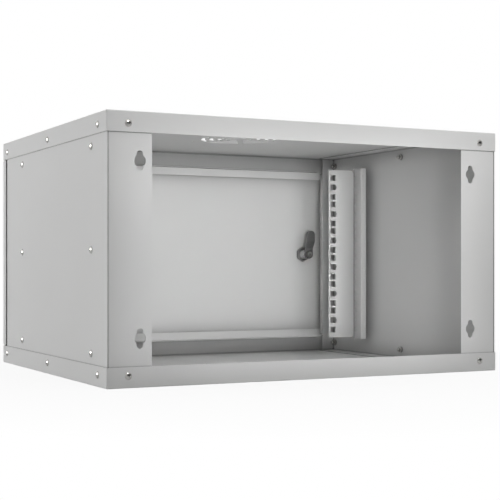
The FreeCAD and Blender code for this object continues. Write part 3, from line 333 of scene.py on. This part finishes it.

# %% [markdown]
# The third effect finds edges. The Bevel node tells how the surface would turn if its edges were
# rounded, and where that differs from the true normal there is an edge. On powder coat the edge is
# painted lighter, partly because the powder draws back from a sharp edge and is smoother there,
# and partly as a painted highlight along it; on bright metal the same mask is rubbed.

# %% Make the edge mask
edges, edges_in, edges_out = new_group(
    "near_an_edge", [("Reach", FLOAT, 0.0008), ("Gain", FLOAT, 3.0)], [("Mask", FLOAT)])
rounded = add(edges, "Bevel")
rounded.samples = 4
true_normal = add(edges, "NewGeometry")
alike = add(edges, "VectorMath", operation="DOT_PRODUCT")
unlike = add(edges, "Math", {0: 1.0}, "SUBTRACT")
gained = add(edges, "Math", operation="MULTIPLY")
gained.use_clamp = True
wire(edges,
     (edges_in, "Reach", rounded, "Radius"),
     (rounded, "Normal", alike, 0),
     (true_normal, "Normal", alike, 1),
     (alike, "Value", unlike, 1),
     (unlike, "Value", gained, 0),
     (edges_in, "Gain", gained, 1),
     (gained, "Value", edges_out, "Mask"))
print("group:", edges.name)

# %% [markdown]
# The fourth effect finds the opposite of edges: folds and narrow gaps, and paints shade into them.
# The Ambient Occlusion node tells how open the sky over a point is. Within 4 mm it draws a fine
# dark line of painted shade in a fold, and within 30 mm a soft painted shade beside it. Usually a
# neighbour's sheet counts too, so a seam between two sheets gets the same painted shade. The two
# covers have a group that counts only their own sheet, or else the floor would draw a line of
# painted shade along their outside.

# %% Make the masks of painted fold shade
LINE_REACH = 0.004
SHADE_REACH = 0.03
FOLD_MASKS = (
    # name, reach in metres, share of open sky where the mask is full, and where it ends
    ("Line", LINE_REACH, 0.48, 0.80),
    ("Shade", SHADE_REACH, 0.45, 1.0),
)


def fold_group(name, alone):
    """The two masks of painted shade. alone leaves out what other pieces hide."""
    folds, folds_in, folds_out = new_group(
        name, [(f"{mask} reach", FLOAT, reach) for mask, reach, full, gone in FOLD_MASKS],
        [(mask, FLOAT) for mask, reach, full, gone in FOLD_MASKS])
    for mask, reach, full, gone in FOLD_MASKS:
        open_sky = add(folds, "AmbientOcclusion")
        open_sky.samples = 8
        open_sky.only_local = alone
        closed_in = fade(folds, full, gone, 1.0, 0.0)
        wire(folds,
             (folds_in, f"{mask} reach", open_sky, "Distance"),
             (open_sky, "AO", closed_in, "Value"),
             (closed_in, "Result", folds_out, mask))
    print("group:", folds.name)
    return folds


painted_shade_with_seams = fold_group("painted_shade_with_seams", False)
painted_shade_alone = fold_group("painted_shade_alone", True)

# %% [markdown]
# A finish's colour is built up in layers: the uneven tone, a lighter edge over it, then the painted
# shade of the folds, soft beside them and a fine line in them. Each layer is a Mix node that takes
# the one below and a second colour, and its mask says how much of the second there is.

# %% Write the layers of colour
MIX_SHARE, MIX_FIRST, MIX_SECOND, MIX_RESULT = 0, 6, 7, 2
PAINTED_SHADE_LAYERS = (
    # mask, share of the finish's own share of painted shade, how dark the painted shade gets
    ("Shade", 0.45, 0.35),
    ("Line", 1.0, 0.18),
)


def place_group(tree, group, values):
    """A node that stands for a group, with the finish's values in it."""
    node = add(tree, "Group")
    node.node_tree = group
    for label, value in values.items():
        node.inputs[label].default_value = value
    return node


def mix_colour(tree, second):
    """A node that mixes a second colour over what lies below."""
    node = add(tree, "Mix", {MIX_SECOND: (*second, 1.0)})
    node.data_type = "RGBA"
    return node


def paint_shade_in_folds(tree, below, fold_finder, colour, painted_shade_share):
    """The two layers of painted shade in the folds over a colour, and the node that ends them."""
    fold = place_group(tree, fold_finder, {"Line reach": LINE_REACH, "Shade reach": SHADE_REACH})
    for mask, share, dark in PAINTED_SHADE_LAYERS:
        amount = add(tree, "Math", {1: share * painted_shade_share}, "MULTIPLY")
        layer = mix_colour(tree, [dark * part for part in colour])
        wire(tree,
             (fold, mask, amount, 0),
             (amount, "Value", layer, MIX_SHARE),
             (below, MIX_RESULT, layer, MIX_FIRST))
        below = layer
    return below


print("layers ready")

# %% [markdown]
# Every finish is then one recipe: a colour, how metallic and how rough it is, how strong the
# ripple, the tone, the edges and the painted shade of the folds are. Values that are the same all
# over sit on the shader's own sockets. Only what changes over the surface is linked.

# %% Write the recipe for a finish
NOISE_LOW, NOISE_HIGH = 0.3, 0.7


def make_finish(name, colour, edge_colour, metallic, roughness, ripple_per_metre, ripple_depth,
                slow_tone, speck_tone, specks_per_metre, edge_reach, edge_gain, painted_shade_share,
                fold_finder=painted_shade_with_seams):
    """A material from the four effects. Depth and reach are in metres."""
    material = bpy.data.materials.new(name)
    material.use_nodes = True
    tree = material.node_tree
    shader = tree.nodes["Principled BSDF"]
    shader.inputs["Metallic"].default_value = metallic
    where = add(tree, "TexCoord")
    skin = place_group(tree, ripple, {"Size per metre": ripple_per_metre})
    coat = place_group(tree, tone, {"Colour": (*colour, 1.0), "Slow amount": slow_tone,
                                    "Speck amount": speck_tone,
                                    "Specks per metre": specks_per_metre})
    border = place_group(tree, edges, {"Reach": edge_reach, "Gain": edge_gain})
    edge_layer = mix_colour(tree, edge_colour)
    top_layer = paint_shade_in_folds(tree, edge_layer, fold_finder, colour, painted_shade_share)
    polish = fade(tree, NOISE_LOW, NOISE_HIGH, *roughness)
    bump = add(tree, "Bump", {"Strength": 1.0, "Distance": ripple_depth})
    wire(tree,
         (where, "Object", skin, "Place"),
         (where, "Object", coat, "Place"),
         (border, "Mask", edge_layer, MIX_SHARE),
         (coat, "Colour", edge_layer, MIX_FIRST),
         (top_layer, MIX_RESULT, shader, "Base Color"),
         (skin, "Patch", polish, "Value"),
         (polish, "Result", shader, "Roughness"),
         (skin, "Height", bump, "Height"),
         (bump, "Normal", shader, "Normal"))
    return material


print("recipe ready")

# %% [markdown]
# The cabinet is sprayed with a light grey epoxy powder. Baked powder is satin and slightly
# orange-peeled, with a ripple a millimetre or two across and a few hundredths deep. The rails
# get a darker copy of the same powder, as painted shade for the shade they stand in. The covers
# take the same powder as the rest, with the painted fold shade that counts only their own sheet.

# %% Make the powder coat
# The fold share sets how much painted shade goes into the folds.
POWDER = {"metallic": 0.0, "roughness": (0.42, 0.52), "ripple_per_metre": 620.0,
          "ripple_depth": 0.00003, "slow_tone": 0.03, "speck_tone": 0.05,
          "specks_per_metre": 2400.0, "edge_reach": 0.0007, "edge_gain": 1.2, "painted_shade_share": 0.8}
# The lighter edge colour of the powder is partly the thinner coat and partly a painted highlight.
LIGHT_GREY = {"colour": (0.72, 0.72, 0.715), "edge_colour": (0.75, 0.75, 0.745)}
# The rails' darker grey is painted shade: the same powder, darker for the shade the rails stand in.
RAIL_SHADE_GREY = {"colour": (0.655, 0.655, 0.65), "edge_colour": (0.70, 0.70, 0.695)}
powder = make_finish("light_grey_powder", **LIGHT_GREY, **POWDER)
cover_powder = make_finish("cover_powder", **LIGHT_GREY, **POWDER, fold_finder=painted_shade_alone)
rail_shaded_powder = make_finish("rail_shaded_powder", **RAIL_SHADE_GREY, **POWDER)
FINISH_OF_NODE = {"top_cover": cover_powder, "bottom_cover": cover_powder,
                  "right_rail": rail_shaded_powder, "left_rail": rail_shaded_powder}
print("finish:", powder.name, "and", sorted(FINISH_OF_NODE))

# %% [markdown]
# Bolts, nuts and washers are bright zinc. It is a metal with a clear, slightly uneven shine, so
# its ripple is long and shallow. The small pieces behind the lock are plated in a barrel and come
# out duller. The lock's chrome is smoother, its cam is dull pressed steel, and the bushes in the
# door are nylon.

# %% Make the metals and the nylon
# The metals and the nylon get painted shade in their folds too, by their fold share.
zinc = make_finish(
    "bright_zinc", (0.68, 0.67, 0.645), (0.82, 0.81, 0.79), metallic=1.0, roughness=(0.14, 0.24),
    ripple_per_metre=900.0, ripple_depth=0.000008, slow_tone=0.06, speck_tone=0.05,
    specks_per_metre=6000.0, edge_reach=0.0002, edge_gain=1.0, painted_shade_share=0.5)
chrome = make_finish(
    "lock_chrome", (0.62, 0.62, 0.62), (0.74, 0.74, 0.74), metallic=1.0, roughness=(0.24, 0.34),
    ripple_per_metre=500.0, ripple_depth=0.000004, slow_tone=0.05, speck_tone=0.05,
    specks_per_metre=6000.0, edge_reach=0.0002, edge_gain=0.8, painted_shade_share=0.6)
worn_zinc = make_finish(
    "dull_zinc", (0.40, 0.40, 0.39), (0.55, 0.55, 0.54), metallic=1.0, roughness=(0.30, 0.42),
    ripple_per_metre=900.0, ripple_depth=0.00001, slow_tone=0.08, speck_tone=0.08,
    specks_per_metre=5000.0, edge_reach=0.0003, edge_gain=1.2, painted_shade_share=0.6)
dark_steel = make_finish(
    "dull_pressed_steel", (0.22, 0.22, 0.22), (0.38, 0.38, 0.38), metallic=0.6,
    roughness=(0.38, 0.52), ripple_per_metre=1500.0, ripple_depth=0.00002, slow_tone=0.10,
    speck_tone=0.15, specks_per_metre=5000.0, edge_reach=0.0005, edge_gain=1.5, painted_shade_share=0.5)
nylon = make_finish(
    "natural_nylon", (0.72, 0.71, 0.66), (0.78, 0.77, 0.73), metallic=0.0, roughness=(0.40, 0.50),
    ripple_per_metre=1200.0, ripple_depth=0.00001, slow_tone=0.04, speck_tone=0.03,
    specks_per_metre=4000.0, edge_reach=0.0003, edge_gain=0.8, painted_shade_share=0.3)
FINISH_OF_SLOT = {"powder_coat": powder, "zinc_plate": zinc, "chrome": chrome,
                  "cam_steel": dark_steel, "nylon": nylon}
print("finishes:", sorted(FINISH_OF_SLOT))

# %% [markdown]
# The solids come with plain materials. Each takes the finish that its record names, and the
# solids' own shape is left as it is.

# %% Dress the solids
slot_of_node = {entry["node"]: entry["material_slot"] for entry in frame["record"]["subparts"]}
for node_name, solid in frame["nodes"].items():
    solid.data.materials.clear()
    finish = FINISH_OF_NODE.get(node_name, FINISH_OF_SLOT[slot_of_node[node_name]])
    solid.data.materials.append(finish)
print("dressed:", len(slot_of_node))

# %% [markdown]
# Screws, nuts and the lock are turned pieces. A turned piece starts as a filled circle. Its top
# face is extruded and scaled again and again, one step for each change of its profile, as a
# lathe would leave it. It is closed from the start, and needs no joining up.

# %% Write the lathe
SMOOTH_BELOW = math.radians(35.0)
COARSE, ROUND, ROUNDER, ROUNDEST = 24, 32, 48, 64


def start_clean():
    bpy.ops.object.select_all(action="DESELECT")


def settle(piece):
    """Outward faces, smooth where the surface is round, the origin at the world's."""
    start_clean()
    piece.select_set(True)
    bpy.context.view_layer.objects.active = piece
    bpy.ops.object.mode_set(mode="EDIT")
    bpy.ops.mesh.select_all(action="SELECT")
    bpy.ops.mesh.normals_make_consistent(inside=False)
    bpy.ops.object.mode_set(mode="OBJECT")
    bpy.ops.object.transform_apply(location=True, rotation=True, scale=True)
    bpy.ops.object.shade_smooth_by_angle(angle=SMOOTH_BELOW)
    return piece


def turn(name, stations, segments=ROUND):
    """A turned piece up the Z axis. stations are (height, radius) in millimetres."""
    start_clean()
    height, radius = stations[0]
    bpy.ops.mesh.primitive_circle_add(vertices=segments, radius=radius * MM, fill_type="NGON",
                                      location=(0.0, 0.0, height * MM))
    piece = bpy.context.active_object
    piece.name = name
    bpy.ops.object.transform_apply(location=True, rotation=False, scale=False)
    bpy.ops.object.mode_set(mode="EDIT")
    bpy.ops.mesh.select_all(action="SELECT")
    for next_height, next_radius in stations[1:]:
        rise = (0.0, 0.0, (next_height - height) * MM)
        bpy.ops.mesh.extrude_region_move(TRANSFORM_OT_translate={"value": rise})
        ratio = next_radius / radius
        bpy.ops.transform.resize(value=(ratio, ratio, 1.0), center_override=(0.0, 0.0, 0.0))
        height, radius = next_height, next_radius
    bpy.ops.object.mode_set(mode="OBJECT")
    return settle(piece)


print("lathe ready")

# %% [markdown]
# Two profiles come back on many pieces. A thread is a row of ridges, one to each pitch, each with
# sloping sides and a narrow crest. A dome is a slice of a ball, worked out from its rim and its
# rise, and it ends in a small flat because a circle can't shrink to nothing.


# %% Write the profiles of a thread and a dome
def thread(low, high, minor, major, pitch):
    """Stations of a thread between two heights: a ridge to each pitch."""
    ridge = ((0.1, minor), (0.4, major), (0.6, major), (0.9, minor))
    turns = max(1, round((high - low) / pitch))
    step = (high - low) / turns
    stations = []
    for number in range(turns):
        base = low + number * step
        stations += [(base + share * step, radius) for share, radius in ridge]
    return stations


def dome(low, high, rim):
    """Stations of a slice of a ball, from its rim to a small flat at the top."""
    steps, flat_share = 8, 0.03
    rise = high - low
    ball = (rim * rim + rise * rise) / (2 * rise)
    widest = math.asin(rim / ball)
    stations = []
    for number in range(steps):
        angle = widest * (1 - number / steps)
        stations.append((high - ball + ball * math.cos(angle), ball * math.sin(angle)))
    return stations + [(high, rim * flat_share)]


print("an M5 thread 2 mm long:", thread(0.0, 2.0, 2.12, 2.48, 0.8))

# %% [markdown]
# What a lathe can't do is cut with a second piece: slots, flats, bores and recesses. A Boolean
# modifier takes the cutter away from the piece, or keeps what the two share.


# %% Write the cutting tools
def carve(piece, cutter, operation="DIFFERENCE"):
    """Cut a piece with another, or keep what both share, and drop the cutter."""
    start_clean()
    bpy.context.view_layer.objects.active = piece
    piece.select_set(True)
    cut = piece.modifiers.new("cut", "BOOLEAN")
    cut.operation = operation
    cut.solver = "EXACT"
    cut.object = cutter
    bpy.ops.object.modifier_apply(modifier=cut.name)
    bpy.data.objects.remove(cutter)
    return settle(piece)


def block(size, centre, turned_by=0.0):
    """A box in millimetres, turned about Z."""
    start_clean()
    bpy.ops.mesh.primitive_cube_add(size=1.0, location=[c * MM for c in centre])
    piece = bpy.context.active_object
    piece.scale = [s * MM for s in size]
    piece.rotation_euler = (0.0, 0.0, math.radians(turned_by))
    bpy.ops.object.transform_apply(location=True, rotation=True, scale=True)
    return piece


print("cutting tools ready")

# %% [markdown]
# A pan-headed M5 bolt: a thread, a plain neck under the head, a short rim, a dome, and a cross
# recess. The recess is cut by two crossed wedges, narrower at their tips as the driver's are.

# %% Turn the bolts
LONG, SHORT, SMALL = 10.0, 8.0, 9.0
M5_ROOT, M5_CREST, M5_PITCH = 2.12, 2.48, 0.8
M4_ROOT, M4_CREST, M4_PITCH = 1.68, 1.98, 0.7
TIP, NECK, NECK_RADIUS = 0.4, 0.8, 2.3
RECESS_ACROSS, RECESS_THICK, RECESS_DEPTH, RECESS_ABOVE = 4.4, 1.0, 1.5, 0.3
RECESS_TAPER = 0.45


def recess_wedge(top, turned_by):
    """A box whose lower face is drawn in, for one arm of a cross recess."""
    middle = top - RECESS_DEPTH / 2
    wedge = block((RECESS_ACROSS, RECESS_THICK, RECESS_DEPTH), (0.0, 0.0, middle), turned_by)
    bpy.ops.object.mode_set(mode="EDIT")
    bpy.ops.mesh.select_all(action="DESELECT")
    shape = bmesh.from_edit_mesh(wedge.data)
    for vertex in shape.verts:
        vertex.select_set(vertex.co.z < middle * MM)
    shape.select_flush_mode()
    bmesh.update_edit_mesh(wedge.data)
    bpy.ops.transform.resize(value=(RECESS_TAPER, RECESS_TAPER, 1.0),
                             center_override=(0.0, 0.0, 0.0))
    bpy.ops.object.mode_set(mode="OBJECT")
    return wedge


def turn_bolt(name, length, head=4.6, height=2.4):
    """A bolt whose head stands on height 0. head is its radius, height the head's."""
    stations = [(-length, 1.8), (-length + TIP, 2.1)]
    stations += thread(-length + TIP, -NECK, M5_ROOT, M5_CREST, M5_PITCH)
    stations += [(-NECK, NECK_RADIUS), (0.0, NECK_RADIUS), (0.0, head - 0.25),
                 (0.12, head - 0.05), (0.5, head)]
    bolt = turn(name, stations + dome(0.52, height, head - 0.01))
    for turned_by in (0.0, 90.0):
        carve(bolt, recess_wedge(height + RECESS_ABOVE, turned_by))
    return bolt


long_bolt = turn_bolt("long_bolt", LONG)
short_bolt = turn_bolt("short_bolt", SHORT)
small_bolt = turn_bolt("small_bolt", SMALL, head=4.2, height=2.5)
print("bolt faces:", len(long_bolt.data.polygons))

# %% [markdown]
# A nut is a six-sided prism whose corners are turned off at both ends. A prism and a chamfered
# disc are made, and what the two share is the nut. A threaded shaft then cuts its bore, and opens
# a little at both ends to lead the bolt in.

# %% Cut the nuts
GROOVE, LEAD_IN = 0.3, 0.35
FACE_SHARE, CHAMFER_SHARE, PAST_CORNER = 0.97, 0.62, 1.01


def cut_nut(name, flats, height, bore, pitch, turned_by=0.0):
    """A nut that stands on height 0. flats is the width a spanner takes."""
    start_clean()
    corner = flats / 2 / math.cos(math.radians(30.0))
    bpy.ops.mesh.primitive_cylinder_add(vertices=6, radius=corner * MM, depth=height * MM,
                                        location=(0.0, 0.0, height / 2 * MM),
                                        rotation=(0.0, 0.0, math.radians(turned_by)))
    nut = bpy.context.active_object
    nut.name = name
    bpy.ops.object.transform_apply(location=True, rotation=True, scale=False)
    face = flats / 2 * FACE_SHARE
    past = corner * PAST_CORNER
    chamfer = (corner - flats / 2) * CHAMFER_SHARE
    disc = turn("disc", [(-0.01, face), (chamfer, past), (height - chamfer, past),
                         (height + 0.01, face)], ROUNDER)
    carve(nut, disc, "INTERSECT")
    wide = bore + GROOVE
    shaft = turn("shaft", [(-0.5, wide), (-0.02, wide), (LEAD_IN, bore)]
                 + thread(LEAD_IN, height - LEAD_IN, bore, wide, pitch)
                 + [(height - LEAD_IN, bore), (height + 0.02, wide), (height + 0.5, wide)])
    return carve(nut, shaft)


m5_nut = cut_nut("m5_nut", flats=8.0, height=4.0, bore=2.52, pitch=M5_PITCH)
m4_nut = cut_nut("m4_nut", flats=7.0, height=3.2, bore=2.02, pitch=M4_PITCH)
print("nut faces:", len(m5_nut.data.polygons))

# %% [markdown]
# One bolt is modelled and each group is copies of it. The solids already say where every bolt
# sits, so the places are measured. A node of bolts is one mesh with loose bodies in it: from any
# corner, its edges lead to all the others of the same body and to none of the next. They are
# put in order of place, so that the copies come out in the same order each time.

# %% Find where the solids are
AXES = {"+X": Vector((1, 0, 0)), "-X": Vector((-1, 0, 0)), "+Y": Vector((0, 1, 0)),
        "-Y": Vector((0, -1, 0)), "+Z": Vector((0, 0, 1)), "-Z": Vector((0, 0, -1))}


def bodies_of(node):
    """The box of each separate body in a node, as its lowest and highest corner, in order."""
    shape = bmesh.new()
    shape.from_mesh(frame["nodes"][node].data)
    bmesh.ops.remove_doubles(shape, verts=shape.verts, dist=1e-6)
    waiting = set(shape.verts)
    boxes = []
    while waiting:
        reached = [waiting.pop()]
        corners = []
        while reached:
            vertex = reached.pop()
            corners.append(vertex.co.copy())
            for edge in vertex.link_edges:
                other = edge.other_vert(vertex)
                if other in waiting:
                    waiting.remove(other)
                    reached.append(other)
        boxes.append((Vector([min(c[i] for c in corners) for i in range(3)]),
                      Vector([max(c[i] for c in corners) for i in range(3)])))
    shape.free()
    return sorted(boxes, key=lambda box: tuple(box[0]))


def stand_at(foot, outward, above_foot):
    """A matrix that stands a template along an axis, its zero above the foot."""
    axis = AXES[outward]
    across = AXES["+Y"] if outward[1] == "X" else AXES["+X"]
    side = across.cross(axis)
    turned = Matrix((side, across, axis)).transposed().to_4x4()
    return Matrix.Translation(foot + axis * above_foot * MM) @ turned


print("bodies in wall_side_screws:", len(bodies_of("wall_side_screws")))

# %% [markdown]
# Each copy's foot goes to the inner end of one body. The copies of a node are then joined to one
# piece, which rides on the node's body, stands for the node and takes the finish it is given.


# %% Write how copies are placed
def place_copies(template, node, outward, above_foot, finish=zinc):
    """One piece of template copies that stands for a node of separate bodies."""
    copies = []
    index = "XYZ".index(outward[1])
    for low, high in bodies_of(node):
        foot = (low + high) / 2
        foot[index] = low[index] if outward[0] == "+" else high[index]
        copy = template.copy()
        copy.data = template.data.copy()
        bpy.context.scene.collection.objects.link(copy)
        copy.matrix_world = stand_at(foot, outward, above_foot)
        copies.append(copy)
    start_clean()
    for copy in copies:
        copy.select_set(True)
    bpy.context.view_layer.objects.active = copies[0]
    bpy.ops.object.transform_apply(location=True, rotation=True, scale=True)
    if len(copies) > 1:
        bpy.ops.object.join()
    piece = bpy.context.active_object
    piece.name = f"{node}_turned"
    piece.data.materials.clear()
    piece.data.materials.append(finish)
    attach(piece, frame["nodes"][node]["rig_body"])
    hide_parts(node)
    print(piece.name, len(copies), "copies")


print("copies can be placed")

# %% [markdown]
# The bolts of the covers and panels have their heads outside and their nuts inside. The rail
# screws go in from inside the cabinet, so their nuts lie outward. A bolt's zero is under its
# head, one shank above its foot, and a nut's zero is its foot.

# %% Fit the bolts and nuts
for hand, outward, inward in (("right", "+X", "-X"), ("left", "-X", "+X")):
    place_copies(long_bolt, f"{hand}_cover_bolts", outward, LONG)
    place_copies(short_bolt, f"{hand}_panel_bolts", outward, SHORT)
    place_copies(short_bolt, f"{hand}_rail_screws", inward, SHORT)
    place_copies(m5_nut, f"{hand}_cover_nuts", inward, 0.0)
    place_copies(m5_nut, f"{hand}_panel_nuts", inward, 0.0)
    place_copies(m5_nut, f"{hand}_rail_nuts", outward, 0.0)
place_copies(long_bolt, "wall_side_screws", "+Y", LONG)
place_copies(m5_nut, "wall_side_nuts", "-Y", 0.0)
place_copies(m4_nut, "top_entry_nuts", "-Z", 0.0)
place_copies(m4_nut, "bottom_entry_nuts", "+Z", 0.0)
place_copies(small_bolt, "cam_screw", "+Y", SMALL, worn_zinc)

# %% [markdown]
# The blanking plates over the cable entries hang on M4 studs welded to the cover. A weld stud
# has a short plain foot, then a thread, and its tip is tapered to lead the nut on.

# %% Turn the weld studs
FOOT = 1.3
stud = turn("weld_stud", [(0.0, 1.95), (FOOT, 1.95)]
            + thread(FOOT, 7.6, M4_ROOT, M4_CREST, M4_PITCH) + [(7.7, 1.7), (8.0, 1.4)], COARSE)
place_copies(stud, "top_entry_studs", "-Z", 0.0)
place_copies(stud, "bottom_entry_studs", "+Z", 0.0)

# %% [markdown]
# The lock's housing is a threaded die casting. Its barrel has a flat on each side, so that it
# can't turn in the door, and a bezel with a soft bevel covers the hole from outside. A large thin
# nut holds it from behind.

# %% Turn the lock's housing
BEZEL, PLAIN = 2.5, 2.5
LOCK_ROOT, LOCK_CREST, LOCK_PITCH = 8.45, 8.95, 1.0
BORE = 6.04
FLAT_THICK, FLAT_WIDE, FLAT_MIDDLE = 4.0, 24.0, 10.0
housing_low, housing_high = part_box("lock_housing")
barrel = (housing_high.y - housing_low.y) / MM - BEZEL
housing = turn("housing", [(-barrel, 8.2), (-barrel + 0.5, 8.5)]
               + thread(-barrel + 0.5, -PLAIN, LOCK_ROOT, LOCK_CREST, LOCK_PITCH)
               + [(-PLAIN, 8.4), (0.0, 8.4), (0.0, 11.9), (1.2, 12.0), (2.0, 11.6), (2.4, 11.0),
                  (BEZEL, 10.4), (BEZEL, 7.0), (2.2, 6.6)], ROUNDEST)
carve(housing, turn("bore", [(-barrel - 1.0, BORE), (4.0, BORE)], ROUNDEST))
for side in (-1, 1):
    carve(housing, block((FLAT_THICK, FLAT_WIDE, barrel), (side * FLAT_MIDDLE, 0.0, -barrel / 2)))
place_copies(housing, "lock_housing", "-Y", barrel, chrome)
lock_nut = cut_nut("big_nut", flats=22.0, height=5.0, bore=9.0, pitch=LOCK_PITCH, turned_by=30.0)
place_copies(lock_nut, "lock_nut", "+Y", 0.0, worn_zinc)

# %% [markdown]
# The cylinder turns in the housing. Its front has a bevelled rim and a key slot, with a narrow
# ward groove beside the slot. Behind, a square drive carries the cam, and a tapped hole takes the
# cam's screw. The square is cut from the round stock by four slabs, as it is on the real plug.

# %% Turn the lock's cylinder
DRIVE_LENGTH, DRIVE_HALF = 3.0, 4.0
SLAB_THICK, SLAB_WIDE = 6.0, 14.0
SLOT_ACROSS, SLOT_THICK, SLOT_DEPTH = 8.0, 1.4, 14.0
WARD_ACROSS, WARD_THICK, WARD_MIDDLE = 1.2, 2.6, (1.4, 0.6)
plug_low, plug_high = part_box("lock_cylinder")
plug_length = (plug_high.y - plug_low.y) / MM
plug = turn("plug", [(0.0, 5.5), (DRIVE_LENGTH, 5.5), (DRIVE_LENGTH, 5.97),
                     (plug_length - 0.4, 5.97), (plug_length, 5.55)], ROUNDEST)
for turned_by in (0.0, 90.0):
    for side in (-1.0, 1.0):
        aside = Vector((side * (DRIVE_HALF + SLAB_THICK / 2), 0.0, 0.0))
        aside.rotate(Matrix.Rotation(math.radians(turned_by), 3, "Z"))
        carve(plug, block((SLAB_THICK, SLAB_WIDE, 2 * DRIVE_LENGTH), (aside.x, aside.y, 0.0),
                          turned_by))
carve(plug, turn("tapped_hole", [(-1.0, 2.7)]
                 + thread(-0.2, 9.0, 2.52, 2.72, M5_PITCH) + [(9.4, 1.2)]))
carve(plug, block((SLOT_ACROSS, SLOT_THICK, 2 * SLOT_DEPTH), (0.0, 0.0, plug_length)))
carve(plug, block((WARD_ACROSS, WARD_THICK, 2 * SLOT_DEPTH), (*WARD_MIDDLE, plug_length)))
place_copies(plug, "lock_cylinder", "-Y", 0.0, chrome)

# %% [markdown]
# Each hinge is a headed pin that drops through a bracket into a nylon bush in the door. The pin's
# head is a low dome, and its tip is tapered so that it finds the bush.

# %% Turn the hinge pins and bushes
PIN_SHANK, BUSH_SHANK = 14.0, 3.2
hinge_pin = turn("hinge_pin", [(-PIN_SHANK, 1.3), (-13.2, 1.96), (0.0, 1.96), (0.0, 3.1),
                               (0.15, 3.28), (0.7, 3.3)] + dome(0.72, 2.0, 3.28))
bush = turn("bush", [(-BUSH_SHANK, 2.75), (-2.9, 2.98), (0.0, 2.98), (0.0, 3.4), (0.1, 3.58),
                     (0.9, 3.58), (1.1, 3.35)], ROUNDER)
carve(bush, turn("bush_bore", [(-4.0, 2.06), (2.0, 2.06)], ROUNDER))
for end, outward in (("top", "+Z"), ("bottom", "-Z")):
    place_copies(hinge_pin, f"hinge_pin_{end}", outward, PIN_SHANK)
    place_copies(bush, f"hinge_bush_{end}", outward, BUSH_SHANK, nylon)

# %% [markdown]
# The templates were only patterns for the copies, so they are taken out of the scene.

# %% Clear the bench
for template in (long_bolt, short_bolt, small_bolt, m5_nut, m4_nut, stud, housing, lock_nut,
                 plug, hinge_pin, bush):
    bpy.data.objects.remove(template)
